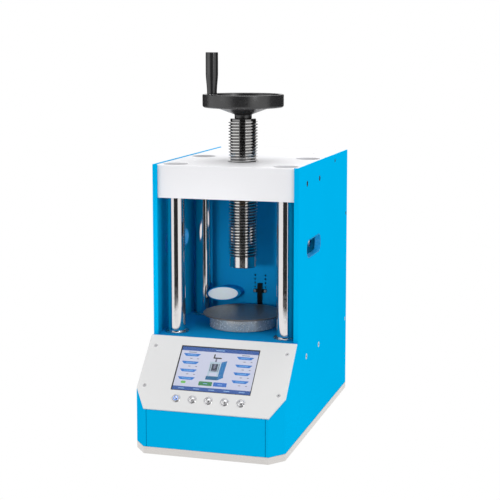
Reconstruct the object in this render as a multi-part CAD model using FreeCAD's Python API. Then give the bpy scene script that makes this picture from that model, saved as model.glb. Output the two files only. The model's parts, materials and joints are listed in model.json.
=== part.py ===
import FreeCAD
import Part
import math
import os
from FreeCAD import Vector

# Automatic tablet press: a four-column hydraulic laboratory press in a sheet-metal case.
# Millimetres. X to the right seen from the front, -Y towards the operator, +Z up.
# Origin: middle of the footprint, on the underside of the base plate.

# ---------------------------------------------------------------- driving dimensions
# Case
BODY_WIDTH = 300.0
PANEL_DEPTH = 446.0          # side panels, front edge to rear edge
CONSOLE_DEPTH = 128.0        # console, in front of the side panels
BODY_TOP = 548.0
BASE_THICK = 14.4
PANEL_SHEET = 3.0
FLANGE_WIDTH = 10.0          # return flange on each side panel's front edge
THIN_SHEET = 2.0             # console, floor, back wall and covers
EDGE_GAP = 0.3               # between neighbouring covers
SEAM_GAP = 1.0               # between the front cover and its corner sheets

# Console
CHAMFER_WIDTH = 25.0         # front corner, measured across
CHAMFER_DEPTH = 31.3         # front corner, measured backwards
SEAM_X = 119.5               # joint between front cover and corner sheets
CONSOLE_SLOPE = 45.0
CONSOLE_SETBACK = 10.5       # panel's upper edge, in front of the side panels
CONSOLE_TOP = 207.0          # height of the panel's upper edge
CONTROL_SHEET = 3.0
SCREEN_WIDTH = 161.0
SCREEN_HEIGHT = 101.0
SCREEN_DOWN = 70.5           # screen centre, down the slope from the upper edge
GLASS_THICK = 1.7
DISPLAY_RIM = 5.0            # display body, larger than the window all round
DISPLAY_DEEP = 14.0
BUTTON_COUNT = 5
BUTTON_PITCH = 32.5
BUTTON_DOWN = 139.0
BUTTON_FLANGE = 18.0
BUTTON_BARREL = 16.0
BUTTON_CAP = 13.0
BUTTON_TRAVEL = 1.6
PANEL_SCREW_X = 135.0
PANEL_SCREW_DOWN = (25.0, 116.0)

# Chamber
FLOOR_TOP = 205.0
WALL_SETBACK = 250.0         # back wall, behind the side panels' front edge
AXIS_SETBACK = 129.0         # screw and ram axis, behind the same edge
COLUMN_DIA = 36.0
COLUMN_PITCH_X = 228.0
COLUMN_PITCH_Y = 180.0
COLUMN_SOCKET = 100.0        # length held in the cylinder block
COLUMN_END_DIA = 28.0        # threaded upper end
COLLAR_DIA = 48.0
COLLAR_HIGH = 3.0
NUT_DIA = 44.0
NUT_HIGH = 14.0
NUT_POCKET_DIA = 50.0
NUT_POCKET_DEEP = 20.0

# Crosshead
CROSSHEAD_BOTTOM = 481.0
CROSSHEAD_THICK = 65.5
CROSSHEAD_SETBACK = 6.0
CROSSHEAD_DEPTH = 252.0
SCREW_NUT_DIA = 84.0
SCREW_NUT_FLANGE = 110.0
SCREW_NUT_FLANGE_THICK = 12.0
SCREW_NUT_LONG = 55.0

# Cylinder block and ram
BLOCK_SETBACK = 9.0
BLOCK_DEPTH = 236.0
BLOCK_TUNNEL_WIDTH = 190.0
BLOCK_TUNNEL_TOP = 60.0
BORE_DIA = 100.0
BORE_FLOOR = 88.0
RAM_FIT = 0.05               # radial running clearance
RAM_REST = 95.0              # underside of the piston when it is down
RAM_STROKE = 50.0
WIPER_DIA = 116.0
WIPER_HIGH = 8.0
SEAL_RISE = 12.0             # seal groove, above the piston's underside
SEAL_HIGH = 7.0
SEAL_DEEP = 4.0
PLATEN_LIFT = 0.5            # gap under the drum when the piston is down
PLATEN_DIA = 140.0
PLATEN_THICK = 25.0
HEAD_DIA = 60.0              # piston's spigot inside the drum
HEAD_LONG = 10.0
PLATE_DIA = 166.0
PLATE_THICK = 3.0
PLATE_SPIGOT = 30.0
PLATE_SPIGOT_LONG = 6.0
OIL_PORT_DIA = 8.0
OIL_PORT_X = -5.0
OIL_PORT_Z = BORE_FLOOR + OIL_PORT_DIA / 2 + 0.5

# Lead screw and foot
SCREW_DIA = 60.0
SCREW_PITCH = 6.0
THREAD_DEPTH = 3.7
THREAD_CREST = 1.44          # width of the thread's flat crest
THREAD_ROOT = 4.5            # width of the thread where it meets the core
SCREW_BOTTOM = 352.0         # lower end of the screw, on top of the foot
THREAD_RUNS = 23             # equal lengths of thread, one above the other
RUN_TURNS = 2
SCREW_TOP = 634.0
FOOT_DIA = 55.5
FOOT_HIGH = 23.0
SPIGOT_DIA = 30.0
SPIGOT_LONG = 15.0
SWIVEL_FIT = 0.05
NUT_CLEARANCE = 0.4          # around the crests of the thread
GRUB_DIA = 5.0
GRUB_RISE = 6.5              # groove and grub screws, above the spigot's end

# Handwheel and grip
WHEEL_DIA = 165.5
WHEEL_RIM_BOTTOM = 656.5
WHEEL_RIM_HIGH = 26.5
WHEEL_RIM_CORNER = 5.0
WHEEL_FLAT_DIA = 114.0       # where the web's cone meets the flat under the rim
WHEEL_HUB_DIA = 35.0
WHEEL_HUB_LOW = 8.0          # plain hub under the web
WHEEL_BORE = 20.0
WHEEL_SEAT_LONG = 28.0
TAPPED = 8.0
WEB_THICK = 7.0
RIM_WALL = 9.0
GRIP_RADIUS = 69.3
GRIP_ANGLE = 221.9           # degrees from +X
GRIP_TOP_DIA = 25.0
GRIP_BASE_DIA = 20.0
GRIP_LONG = 84.0
SPINDLE_DIA = 8.0
SPINDLE_NECK = 1.0
SPINDLE_HEAD = 13.0
SPINDLE_HEAD_HIGH = 5.0
SPINDLE_SUNK = 8.0           # top of the spindle's head, under the rim-to-grip length

# Hand holes in the side panels
HOLE_LONG = 122.0
HOLE_HIGH = 38.0
HOLE_SETBACK = 126.0
HOLE_Z = 379.0
LIP_WALL = 2.0
LIP_DEEP = 12.0

# Screws in the side panels and covers
M6 = {"head": 11.6, "head_deep": 2.8, "shank": 6.0, "length": 16.0}
M4 = {"head": 8.0, "head_deep": 2.0, "shank": 4.0, "length": 9.0}
SIDE_SCREW_SETBACKS = (67.0, 174.0)
SIDE_SCREW_UPPER_Z = 511.5
SIDE_SCREW_LOWER_Z = 164.0
REAR_SCREW_IN = 11.0         # from the side panel's rear edge
REAR_SCREW_ZS = (164.0, 406.0)
TOP_COVER_SCREW_SETBACK = 318.0
TOP_COVER_SCREW_DOWN = 13.0
TOP_SCREW_X = 95.0
TOP_SCREW_HEAD = 7.6
TOP_SCREW_DEEP = 1.8

# Bolts from the base plate into the cylinder block
BOLT_DIA = 12.0
BOLT_HEAD = 18.0
BOLT_HEAD_HIGH = 8.0
BOLT_LONG = 40.0
BOLT_IN = 40.0               # from the block's front and rear faces

# Ladder of holes on the back wall
BRACKET_X = 2.5
BRACKET_WIDTH = 10.0
BRACKET_DEEP = 8.0
BRACKET_TOP = 272.0
LADDER_HALF = 11.5
LADDER_Z = 255.0
LADDER_PITCH = 8.5
LADDER_STEPS = 5

# Chamber lamp: an oval head, turned towards the platen, on an oval neck from the wall
LAMP_X = -69.5
LAMP_BEFORE = 40.0           # in front of the back wall
LAMP_Z = 252.5
LAMP_TURN = 19.2             # degrees, anticlockwise seen from above
LAMP_LONG = 68.0
LAMP_HIGH = 31.0
LAMP_THICK = 4.5
LAMP_RIM = 2.0               # housing, around the lens
LENS_SEAT = 2.5              # depth of the lens's seat in the head
LENS_PROUD = 1.5
NECK_X = -61.0
NECK_LONG = 54.0
NECK_HIGH = 25.0
NECK_WALL = 3.0

# Rear compartment
REAR_RECESS = 5.0
REAR_FLANGE = 20.0
PACK_BEHIND = 22.0           # power pack's front face, behind the cylinder block
PACK_DEEP = 80.0
PACK_AXIS_Z = 75.0
MOTOR_LEFT = -142.0
BLOCK_LEFT = -22.0
TANK_LEFT = 38.0
TANK_RIGHT = 142.0
MOTOR_DIA = 80.0
ROTOR_DIA = 49.0
SHAFT_DIA = 12.0
PACK_TOP = 120.0
TANK_WALL = 2.5
ELECTRONICS_BEFORE = 87.0    # electronics plate, in front of the case's rear edge
MOTOR_CAP = 14.0             # end wall of the motor
MOTOR_FOOT = 60.0
FIN_COUNT = 8
FIN_PITCH = 11.0
FIN_SLOT = 4.0
PUMP_LONG = 42.0
PUMP_WIDE = 44.0
PUMP_DOWN = 30.0
PUMP_UP = 24.0
PUMP_SHAFT = 22.0
SENSOR_X = 22.0
SENSOR_BEHIND = 52.0         # behind the power pack's front face
SENSOR_STEM = 10.0
SENSOR_DIA = 20.0
SENSOR_HIGH = 52.0
CAP_X = 112.0
CAP_DIA = 34.0
CAP_HIGH = 14.0
CAP_NECK = 22.0
CAP_GROOVES = 16
TANK_LIFT = 12.0
PIPE_RISE = 26.0
PIPE_BEND = 9.0
PIPE_TAKE = 22.0             # pipe's port, behind the power pack's front face
ELECTRONICS_LOW = 330.0
ELECTRONICS_TOP = 490.0
SUPPLY_LEFT = -128.0
SUPPLY_RIGHT = -18.0
SUPPLY_DEEP = 42.0
SUPPLY_SLOTS = 9
BOARD_LEFT = 5.0
BOARD_RIGHT = 128.0
BOARD_STAND = 8.0
BOARD_THICK = 1.6
LOUVRE_LONG = 60.0
LOUVRE_HIGH = 3.5
LOUVRE_PITCH = 9.0
LOUVRE_COUNT = 9
LOUVRE_LOW = 400.0
HOOD_PROUD = 3.0
HOOD_SHEET = 1.2
ENTRY_X = -75.0
ENTRY_Z = 62.0
ENTRY_BODY = (47.0, 27.0)
ENTRY_FLANGE = (57.0, 34.0)
ROCKER_TILT = 10.0

# ---------------------------------------------------------------- derived places
HALF = BODY_WIDTH / 2
INNER = HALF - PANEL_SHEET
Y_FRONT = -(PANEL_DEPTH + CONSOLE_DEPTH) / 2
Y_BODY = Y_FRONT + CONSOLE_DEPTH
Y_REAR = Y_BODY + PANEL_DEPTH
AXIS_Y = Y_BODY + AXIS_SETBACK
WALL_Y = Y_BODY + WALL_SETBACK
FLOOR_UNDER = FLOOR_TOP - THIN_SHEET
CROSS_TOP = CROSSHEAD_BOTTOM + CROSSHEAD_THICK
CROSS_FRONT = Y_BODY + CROSSHEAD_SETBACK
CROSS_REAR = CROSS_FRONT + CROSSHEAD_DEPTH
BLOCK_FRONT = Y_BODY + BLOCK_SETBACK
BLOCK_REAR = BLOCK_FRONT + BLOCK_DEPTH
CONSOLE_EDGE_Y = Y_BODY - CONSOLE_SETBACK
PLATEN_BOTTOM = FLOOR_TOP + PLATEN_LIFT
PLATE_BOTTOM = PLATEN_BOTTOM + PLATEN_THICK
FOOT_BOTTOM = SCREW_BOTTOM - FOOT_HIGH
RIM_TOP = WHEEL_RIM_BOTTOM + WHEEL_RIM_HIGH
GRIP_X = GRIP_RADIUS * math.cos(math.radians(GRIP_ANGLE))
GRIP_Y = AXIS_Y + GRIP_RADIUS * math.sin(math.radians(GRIP_ANGLE))
SLOPE = math.radians(CONSOLE_SLOPE)
CONSOLE_LENGTH = (CONSOLE_EDGE_Y - Y_FRONT) / math.cos(SLOPE)
KNEE_DOWN = (CONSOLE_EDGE_Y - Y_FRONT - CHAMFER_DEPTH) / math.cos(SLOPE)
REAR_WEB = Y_REAR - REAR_RECESS
COVER_UNDER = CROSS_TOP - THIN_SHEET
PACK_FRONT = BLOCK_REAR + PACK_BEHIND
PACK_Y = PACK_FRONT + PACK_DEEP / 2
SENSOR_Y = PACK_FRONT + SENSOR_BEHIND
ELECTRONICS_Y = Y_REAR - ELECTRONICS_BEFORE
LAMP_Y = WALL_Y - LAMP_BEFORE
GLASS_BACK = -0.2 - GLASS_THICK
SEAL_LOW = RAM_REST + SEAL_RISE
GRUB_Z = SCREW_BOTTOM - SPIGOT_LONG + GRUB_RISE
THREAD_LOW = SCREW_BOTTOM + 0.5
RUN_LONG = RUN_TURNS * SCREW_PITCH
THREAD_TOP = THREAD_LOW + THREAD_RUNS * RUN_LONG
GRIP_LOW = RIM_TOP + SPINDLE_NECK + EDGE_GAP
SPINDLE_TOP = RIM_TOP + GRIP_LONG - SPINDLE_SUNK
BOLT_X = (BLOCK_TUNNEL_WIDTH / 2 + INNER) / 2
BOLT_YS = (BLOCK_FRONT + BOLT_IN, BLOCK_REAR - BOLT_IN)
TOP_SCREW_Y = ELECTRONICS_Y - 7.0
ROCKER_X = ENTRY_X + 14.0
SOCKET_X = ENTRY_X - 9.0

XA = Vector(1, 0, 0)
YA = Vector(0, 1, 0)
ZA = Vector(0, 0, 1)


# ---------------------------------------------------------------- shape helpers
def block(x0, x1, y0, y1, z0, z1):
    return Part.makeBox(x1 - x0, y1 - y0, z1 - z0, Vector(x0, y0, z0))


def rod(dia, start, end):
    run = Vector(*end) - Vector(*start)
    return Part.makeCylinder(dia / 2, run.Length, Vector(*start), run)


def cone(dia0, dia1, start, end):
    run = Vector(*end) - Vector(*start)
    return Part.makeCone(dia0 / 2, dia1 / 2, run.Length, Vector(*start), run)


def prism(points, run):
    corners = [Vector(*p) for p in points]
    return Part.Face(Part.makePolygon(corners + [corners[0]])).extrude(Vector(*run))


def turned(profile, x=0.0, y=0.0):
    """Solid turned about a vertical axis; profile is (radius, height) pairs."""
    corners = [Vector(r, 0, z) for r, z in profile]
    face = Part.Face(Part.makePolygon(corners + [corners[0]]))
    solid = face.revolve(Vector(0, 0, 0), ZA, 360)
    solid.translate(Vector(x, y, 0))
    return solid


def cut(shape, tools):
    return shape.cut(Part.makeCompound(list(tools)))


def fuse(shapes):
    result = shapes[0]
    for shape in shapes[1:]:
        result = result.fuse(shape)
    return result.removeSplitter()


def hexagon(across, height, base):
    corner = across / 2 / math.cos(math.pi / 6)
    points = []
    for k in range(6):
        turn = math.pi / 3 * k
        points.append((corner * math.cos(turn), corner * math.sin(turn), 0))
    solid = prism(points, (0, 0, height))
    solid.translate(Vector(*base))
    return solid


def stadium(long, high, x0, x1):
    """Round-ended bar across a side panel, its long side along Y, at the hand hole."""
    y = Y_BODY + HOLE_SETBACK
    flat = (long - high) / 2
    shapes = [block(x0, x1, y - flat, y + flat, HOLE_Z - high / 2, HOLE_Z + high / 2)]
    for side in (-flat, flat):
        shapes.append(rod(high, (x0, y + side, HOLE_Z), (x1, y + side, HOLE_Z)))
    return fuse(shapes)


def fillet_edges(shape, radius, wanted):
    edges = [e for e in shape.Edges if wanted(e)]
    return shape.makeFillet(radius, edges)


def chamfer_edges(shape, size, wanted):
    edges = [e for e in shape.Edges if wanted(e)]
    return shape.makeChamfer(size, edges)


def along(edge, axis):
    if not isinstance(edge.Curve, (Part.Line, Part.LineSegment)):
        return False
    run = edge.Vertexes[-1].Point - edge.Vertexes[0].Point
    return abs(run.dot(axis)) > 0.999 * run.Length


def mirror_x(shape):
    return shape.mirror(Vector(0, 0, 0), XA)


def column_places():
    for sx in (-1, 1):
        for sy in (-1, 1):
            yield sx * COLUMN_PITCH_X / 2, AXIS_Y + sy * COLUMN_PITCH_Y / 2


def on_panel(shape):
    """From the control panel's flat frame (x across, y up the slope, z out) to the case."""
    placed = shape.copy()
    placed.rotate(Vector(0, 0, 0), XA, CONSOLE_SLOPE)
    placed.translate(Vector(0, CONSOLE_EDGE_Y, CONSOLE_TOP))
    return placed


def above_panel(depth):
    """Everything in front of a plane that lies depth under the panel's face."""
    big = BODY_WIDTH + PANEL_DEPTH
    return on_panel(block(-big, big, -big, big, -depth, big))


def folded_sheet(points, thickness, height):
    """Upright sheet that follows a plan line; the thickness lies to the line's left."""
    normals = []
    for (xa, ya), (xb, yb) in zip(points, points[1:]):
        length = math.hypot(xb - xa, yb - ya)
        normals.append((-(yb - ya) / length, (xb - xa) / length))
    inner = []
    for k, (x, y) in enumerate(points):
        first = normals[max(k - 1, 0)]
        second = normals[min(k, len(normals) - 1)]
        share = 1 + first[0] * second[0] + first[1] * second[1]
        dx = (first[0] + second[0]) / share * thickness
        dy = (first[1] + second[1]) / share * thickness
        inner.append((x + dx, y + dy))
    outline = [(x, y, 0) for x, y in points + inner[::-1]]
    return prism(outline, (0, 0, height))


def side_screw(x_sign, y, z, head, head_deep, shank, length):
    """Countersunk screw in a side panel, its head flush with the outside."""
    outer = x_sign * HALF
    seat = outer - x_sign * head_deep
    tip = outer - x_sign * length
    body = cone(shank, head, (seat, y, z), (outer, y, z))
    body = fuse([body, rod(shank, (tip, y, z), (seat, y, z))])
    socket = hexagon(head * 0.38, head_deep * 0.7, (0, 0, 0))
    socket.rotate(Vector(0, 0, 0), YA, -x_sign * 90)
    socket.translate(Vector(outer, y, z))
    return body.cut(socket)


def side_screw_hole(x_sign, y, z, head, head_deep, shank, length):
    outer = x_sign * HALF
    seat = outer - x_sign * head_deep
    sink = cone(shank, head, (seat, y, z), (outer, y, z))
    return [sink, rod(shank, (outer - x_sign * length, y, z), (seat, y, z))]


def m6_places():
    for sx in (-1, 1):
        for setback in SIDE_SCREW_SETBACKS:
            for z in (SIDE_SCREW_LOWER_Z, SIDE_SCREW_UPPER_Z):
                yield sx, Y_BODY + setback, z


def m4_places():
    for sx in (-1, 1):
        for z in REAR_SCREW_ZS:
            yield sx, Y_REAR - REAR_SCREW_IN, z
        yield sx, Y_BODY + TOP_COVER_SCREW_SETBACK, BODY_TOP - TOP_COVER_SCREW_DOWN


def m6_holes():
    holes = []
    for sx, y, z in m6_places():
        holes += side_screw_hole(sx, y, z, **M6)
    return holes


def m4_holes():
    holes = []
    for sx, y, z in m4_places():
        holes += side_screw_hole(sx, y, z, **M4)
    return holes


# ---------------------------------------------------------------- base and case
def bolt_places():
    for x in (-BOLT_X, BOLT_X):
        for y in BOLT_YS:
            yield x, y


def base_plate():
    right = [(HALF, Y_REAR), (HALF, Y_FRONT + CHAMFER_DEPTH), (HALF - CHAMFER_WIDTH, Y_FRONT)]
    left = [(-x, y) for x, y in reversed(right)]
    plate = prism([(x, y, 0) for x, y in right + left], (0, 0, BASE_THICK))
    plate = chamfer_edges(plate, 0.6, lambda e: not along(e, ZA))
    holes = []
    for x, y in bolt_places():
        holes.append(rod(BOLT_DIA, (x, y, 0), (x, y, BASE_THICK)))
        holes.append(rod(BOLT_HEAD + 1, (x, y, 0), (x, y, BOLT_HEAD_HIGH + 1)))
    return cut(plate, holes)


def block_bolts():
    bolts = []
    for x, y in bolt_places():
        head = rod(BOLT_HEAD, (x, y, 1), (x, y, BOLT_HEAD_HIGH + 1))
        shank = rod(BOLT_DIA, (x, y, BOLT_HEAD_HIGH + 1), (x, y, BOLT_LONG))
        socket = hexagon(10, 5, (x, y, 1))
        bolts.append(fuse([head, shank]).cut(socket))
    return Part.makeCompound(bolts)


def side_panel():
    """Right-hand panel; the left one is its mirror image."""
    skin = block(INNER, HALF, Y_BODY, Y_REAR, BASE_THICK, BODY_TOP)
    flange = block(HALF - FLANGE_WIDTH, HALF, Y_BODY, Y_BODY + PANEL_SHEET, BASE_THICK, BODY_TOP)
    panel = fuse([skin, flange])
    outer_edge = Vector(HALF, Y_BODY, 0)

    def bend(edge):
        middle = edge.CenterOfMass
        off = Vector(middle.x, middle.y, 0) - outer_edge
        return along(edge, ZA) and off.Length < 0.1

    panel = fillet_edges(panel, 2.0, bend)
    hole = stadium(HOLE_LONG, HOLE_HIGH, INNER - 1, HALF + 1)
    return cut(panel, [hole] + m6_holes() + m4_holes())


def grip_lips():
    """Moulded liners in the two hand holes, with a clip flange inside the panel."""
    fit = EDGE_GAP
    body = stadium(HOLE_LONG - 2 * fit, HOLE_HIGH - 2 * fit, HALF - LIP_DEEP, HALF)
    clip = stadium(HOLE_LONG + 8, HOLE_HIGH + 8, INNER - 1.5, INNER)
    inside = stadium(HOLE_LONG - 2 * fit - 2 * LIP_WALL, HOLE_HIGH - 2 * fit - 2 * LIP_WALL,
                     HALF - LIP_DEEP - 1, HALF + 1)
    lip = fuse([body, clip]).cut(inside)
    return Part.makeCompound([lip, mirror_x(lip)])


def side_panel_screws():
    return Part.makeCompound([side_screw(sx, y, z, **M6) for sx, y, z in m6_places()])


def top_screw_places():
    for x in (-TOP_SCREW_X, TOP_SCREW_X):
        yield x, TOP_SCREW_Y


def cover_screws():
    screws = [side_screw(sx, y, z, **M4) for sx, y, z in m4_places()]
    for x, y in top_screw_places():
        top = CROSS_TOP
        seat = top - TOP_SCREW_DEEP
        head = cone(M4["shank"], TOP_SCREW_HEAD, (x, y, seat), (x, y, top))
        shank = rod(M4["shank"], (x, y, top - 8), (x, y, seat))
        socket = hexagon(2.5, 1.3, (x, y, top - 1.3))
        screws.append(fuse([head, shank]).cut(socket))
    return Part.makeCompound(screws)


def console_side():
    """Right-hand side of the console: side, corner facet and a short front return."""
    line = [(SEAM_X, Y_FRONT), (HALF - CHAMFER_WIDTH, Y_FRONT),
            (HALF, Y_FRONT + CHAMFER_DEPTH), (HALF, Y_BODY)]
    sheet = folded_sheet(line, THIN_SHEET, FLOOR_TOP - BASE_THICK)
    sheet.translate(Vector(0, 0, BASE_THICK))
    return sheet.cut(above_panel(CONTROL_SHEET))


def console_front_cover():
    edge = SEAM_X - SEAM_GAP
    web = block(-edge, edge, Y_FRONT, Y_FRONT + THIN_SHEET, BASE_THICK, FLOOR_TOP)
    shapes = [web]
    for x0, x1 in ((-edge, -edge + THIN_SHEET), (edge - THIN_SHEET, edge)):
        shapes.append(block(x0, x1, Y_FRONT, Y_FRONT + 14, BASE_THICK, FLOOR_TOP))
    return fuse(shapes).cut(above_panel(CONTROL_SHEET))


# ---------------------------------------------------------------- console fittings
def button_places():
    first = -BUTTON_PITCH * (BUTTON_COUNT - 1) / 2
    for k in range(BUTTON_COUNT):
        yield first + k * BUTTON_PITCH, -BUTTON_DOWN


def panel_screw_places():
    for x in (-PANEL_SCREW_X, PANEL_SCREW_X):
        for down in PANEL_SCREW_DOWN:
            yield x, -down


def control_panel():
    right = [(HALF, 0), (HALF, -KNEE_DOWN), (HALF - CHAMFER_WIDTH, -CONSOLE_LENGTH)]
    left = [(-x, y) for x, y in reversed(right)]
    plate = prism([(x, y, -CONTROL_SHEET) for x, y in right + left], (0, 0, CONTROL_SHEET))
    plate = chamfer_edges(plate, 0.4, lambda e: not along(e, ZA) and e.CenterOfMass.z > -0.1)
    tools = [block(-SCREEN_WIDTH / 2, SCREEN_WIDTH / 2, -SCREEN_DOWN - SCREEN_HEIGHT / 2,
                   -SCREEN_DOWN + SCREEN_HEIGHT / 2, -CONTROL_SHEET, 1)]
    for x, y in button_places():
        tools.append(rod(BUTTON_BARREL + 0.2, (x, y, -CONTROL_SHEET), (x, y, 1)))
    for x, y in panel_screw_places():
        tools.append(rod(4.0, (x, y, -CONTROL_SHEET), (x, y, 0)))
        tools.append(cone(4.0, 8.0, (x, y, -2.2), (x, y, 0)))
    return on_panel(cut(plate, tools))


def panel_screws():
    screws = []
    for x, y in panel_screw_places():
        head = cone(4.0, 8.0, (x, y, -2.2), (x, y, 0))
        shank = rod(4.0, (x, y, -10), (x, y, -2.2))
        screws.append(fuse([head, shank]).cut(hexagon(2.5, 1.6, (x, y, -1.6))))
    return on_panel(Part.makeCompound(screws))


def touch_glass():
    w = SCREEN_WIDTH / 2 - EDGE_GAP
    h = SCREEN_HEIGHT / 2 - EDGE_GAP
    pane = block(-w, w, -SCREEN_DOWN - h, -SCREEN_DOWN + h, GLASS_BACK, -0.2)
    return on_panel(pane)


def display_module():
    w = SCREEN_WIDTH / 2
    h = SCREEN_HEIGHT / 2
    rim = DISPLAY_RIM
    fit = EDGE_GAP
    low = -CONTROL_SHEET - DISPLAY_DEEP
    face = block(-w + fit, w - fit, -SCREEN_DOWN - h + fit, -SCREEN_DOWN + h - fit,
                 -CONTROL_SHEET, GLASS_BACK - 0.4)
    body = block(-w - rim, w + rim, -SCREEN_DOWN - h - rim / 2, -SCREEN_DOWN + h + rim,
                 low, -CONTROL_SHEET)
    hood = block(-w * 0.7, w * 0.7, -SCREEN_DOWN - h * 0.7, -SCREEN_DOWN + h * 0.7, low - 12, low)
    # The glass is stuck to the display by a narrow frame of tape.
    tape = block(-w + fit, w - fit, -SCREEN_DOWN - h + fit, -SCREEN_DOWN + h - fit,
                 GLASS_BACK - 0.4, GLASS_BACK)
    tape = tape.cut(block(-w + 2, w - 2, -SCREEN_DOWN - h + 2, -SCREEN_DOWN + h - 2,
                          GLASS_BACK - 0.4, GLASS_BACK))
    return on_panel(fuse([body, face, hood, tape]))


def button_bezels():
    outer = BUTTON_FLANGE / 2
    barrel = BUTTON_BARREL / 2
    bore = BUTTON_CAP / 2 + EDGE_GAP
    profile = [(0, -24), (barrel, -24), (barrel, 0), (outer, 0), (outer, 0.9),
               (outer - 0.7, 1.7), (bore + 0.4, 1.7), (bore, 1.3), (bore, -11), (0, -11)]
    return on_panel(Part.makeCompound([turned(profile, x, y) for x, y in button_places()]))


def button_nuts():
    nuts = []
    for x, y in button_places():
        nut = hexagon(20, 3, (x, y, -CONTROL_SHEET - 3))
        nuts.append(nut.cut(rod(BUTTON_BARREL, (x, y, -20), (x, y, 0))))
    return on_panel(Part.makeCompound(nuts))


def button_cap(number):
    x, y = list(button_places())[number]
    r = BUTTON_CAP / 2
    profile = [(0, -8), (r, -8), (r, 1.4), (r * 0.93, 2.0), (r * 0.75, 2.5),
               (r * 0.5, 2.9), (r * 0.25, 3.1), (0, 3.15)]
    return on_panel(turned(profile, x, y))


# ---------------------------------------------------------------- chamber
def floor_plate():
    front = CONSOLE_EDGE_Y + CONTROL_SHEET * math.sin(SLOPE) + EDGE_GAP
    plate = block(-HALF + THIN_SHEET, HALF - THIN_SHEET, front, Y_BODY, FLOOR_UNDER, FLOOR_TOP)
    inner = INNER - EDGE_GAP
    rear = block(-inner, inner, Y_BODY + PANEL_SHEET, WALL_Y + THIN_SHEET, FLOOR_UNDER, FLOOR_TOP)
    tongue = HALF - FLANGE_WIDTH - EDGE_GAP
    middle = block(-tongue, tongue, front, WALL_Y, FLOOR_UNDER, FLOOR_TOP)
    plate = fuse([plate, middle, rear])
    holes = [rod(BORE_DIA + 1, (0, AXIS_Y, FLOOR_UNDER), (0, AXIS_Y, FLOOR_TOP))]
    for x, y in column_places():
        holes.append(rod(COLUMN_DIA + 0.4, (x, y, FLOOR_UNDER), (x, y, FLOOR_TOP)))
    return cut(plate, holes)


def ladder_places():
    for side in (-LADDER_HALF, LADDER_HALF):
        for k in range(LADDER_STEPS):
            yield BRACKET_X + side, LADDER_Z + k * LADDER_PITCH


def back_wall():
    wall = block(-INNER, INNER, WALL_Y, WALL_Y + THIN_SHEET, FLOOR_TOP, CROSSHEAD_BOTTOM)
    holes = [rod(4.0, (x, WALL_Y, z), (x, WALL_Y + THIN_SHEET, z)) for x, z in ladder_places()]
    return cut(wall, holes)


def stroke_limit_bracket():
    """Upright stop bar with two ears, moved up and down the ladder of holes."""
    half = BRACKET_WIDTH / 2
    bar = block(BRACKET_X - half, BRACKET_X + half, WALL_Y - BRACKET_DEEP, WALL_Y,
                FLOOR_TOP, BRACKET_TOP)
    bar = chamfer_edges(bar, 1.0, lambda e: e.CenterOfMass.y < WALL_Y - BRACKET_DEEP + 0.1)
    ear = block(BRACKET_X - LADDER_HALF, BRACKET_X + LADDER_HALF, WALL_Y - 2, WALL_Y,
                LADDER_Z - 4, LADDER_Z + 4)
    shapes = [bar, ear]
    for side in (-LADDER_HALF, LADDER_HALF):
        x = BRACKET_X + side
        shapes.append(rod(8, (x, WALL_Y - 2, LADDER_Z), (x, WALL_Y, LADDER_Z)))
    holes = []
    for side in (-LADDER_HALF, LADDER_HALF):
        x = BRACKET_X + side
        holes.append(rod(4.0, (x, WALL_Y - 2, LADDER_Z), (x, WALL_Y, LADDER_Z)))
    return cut(fuse(shapes), holes)


def bracket_screws():
    screws = []
    for side in (-LADDER_HALF, LADDER_HALF):
        x = BRACKET_X + side
        y = WALL_Y - 2
        head = cone(5.5, 7.6, (x, y - 2.2, LADDER_Z), (x, y, LADDER_Z))
        shank = rod(4.0, (x, y, LADDER_Z), (x, y + 8, LADDER_Z))
        socket = rod(2.6, (x, y - 2.2, LADDER_Z), (x, y - 0.8, LADDER_Z))
        screws.append(fuse([head, shank]).cut(socket))
    return Part.makeCompound(screws)


def oval(long, high, y0, y1):
    """Elliptic bar along Y, centred on the Y axis."""
    ellipse = Part.Ellipse(Vector(0, 0, 0), long / 2, high / 2)
    face = Part.Face(Part.Wire(ellipse.toShape()))
    face.rotate(Vector(0, 0, 0), XA, 90)
    face.translate(Vector(0, y0, 0))
    return face.extrude(Vector(0, y1 - y0, 0))


def at_lamp(shape):
    """From the lamp head's own frame (face on y = 0, back at +y) to the chamber."""
    placed = shape.copy()
    placed.rotate(Vector(0, 0, 0), ZA, LAMP_TURN)
    placed.translate(Vector(LAMP_X, LAMP_Y, LAMP_Z))
    return placed


def neck_bar(long, high, back, ahead):
    """Oval bar from the wall, cut off at a depth behind the head's face."""
    bar = oval(long, high, LAMP_Y - LAMP_LONG / 2, back)
    bar.translate(Vector(NECK_X, 0, LAMP_Z))
    reach = LAMP_LONG
    return bar.cut(at_lamp(block(-reach, reach, -reach, ahead, -reach, reach)))


def lamp_body():
    head = at_lamp(oval(LAMP_LONG, LAMP_HIGH, 0, LAMP_THICK))
    neck = neck_bar(NECK_LONG, NECK_HIGH, WALL_Y, LAMP_THICK / 2)
    rim = 2 * LAMP_RIM
    seat = at_lamp(oval(LAMP_LONG - rim, LAMP_HIGH - rim, -1, LENS_SEAT))
    wall = 2 * NECK_WALL
    cavity = neck_bar(NECK_LONG - wall, NECK_HIGH - wall, WALL_Y - NECK_WALL, LENS_SEAT - 1)
    return cut(fuse([head, neck]), [seat, cavity])


def lamp_lens():
    fit = 2 * LAMP_RIM + 0.2
    lens = oval(LAMP_LONG - fit, LAMP_HIGH - fit, -LENS_PROUD, LENS_SEAT)
    lens = fillet_edges(lens, 1.2, lambda e: e.CenterOfMass.y < 0)
    return at_lamp(lens)


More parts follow.
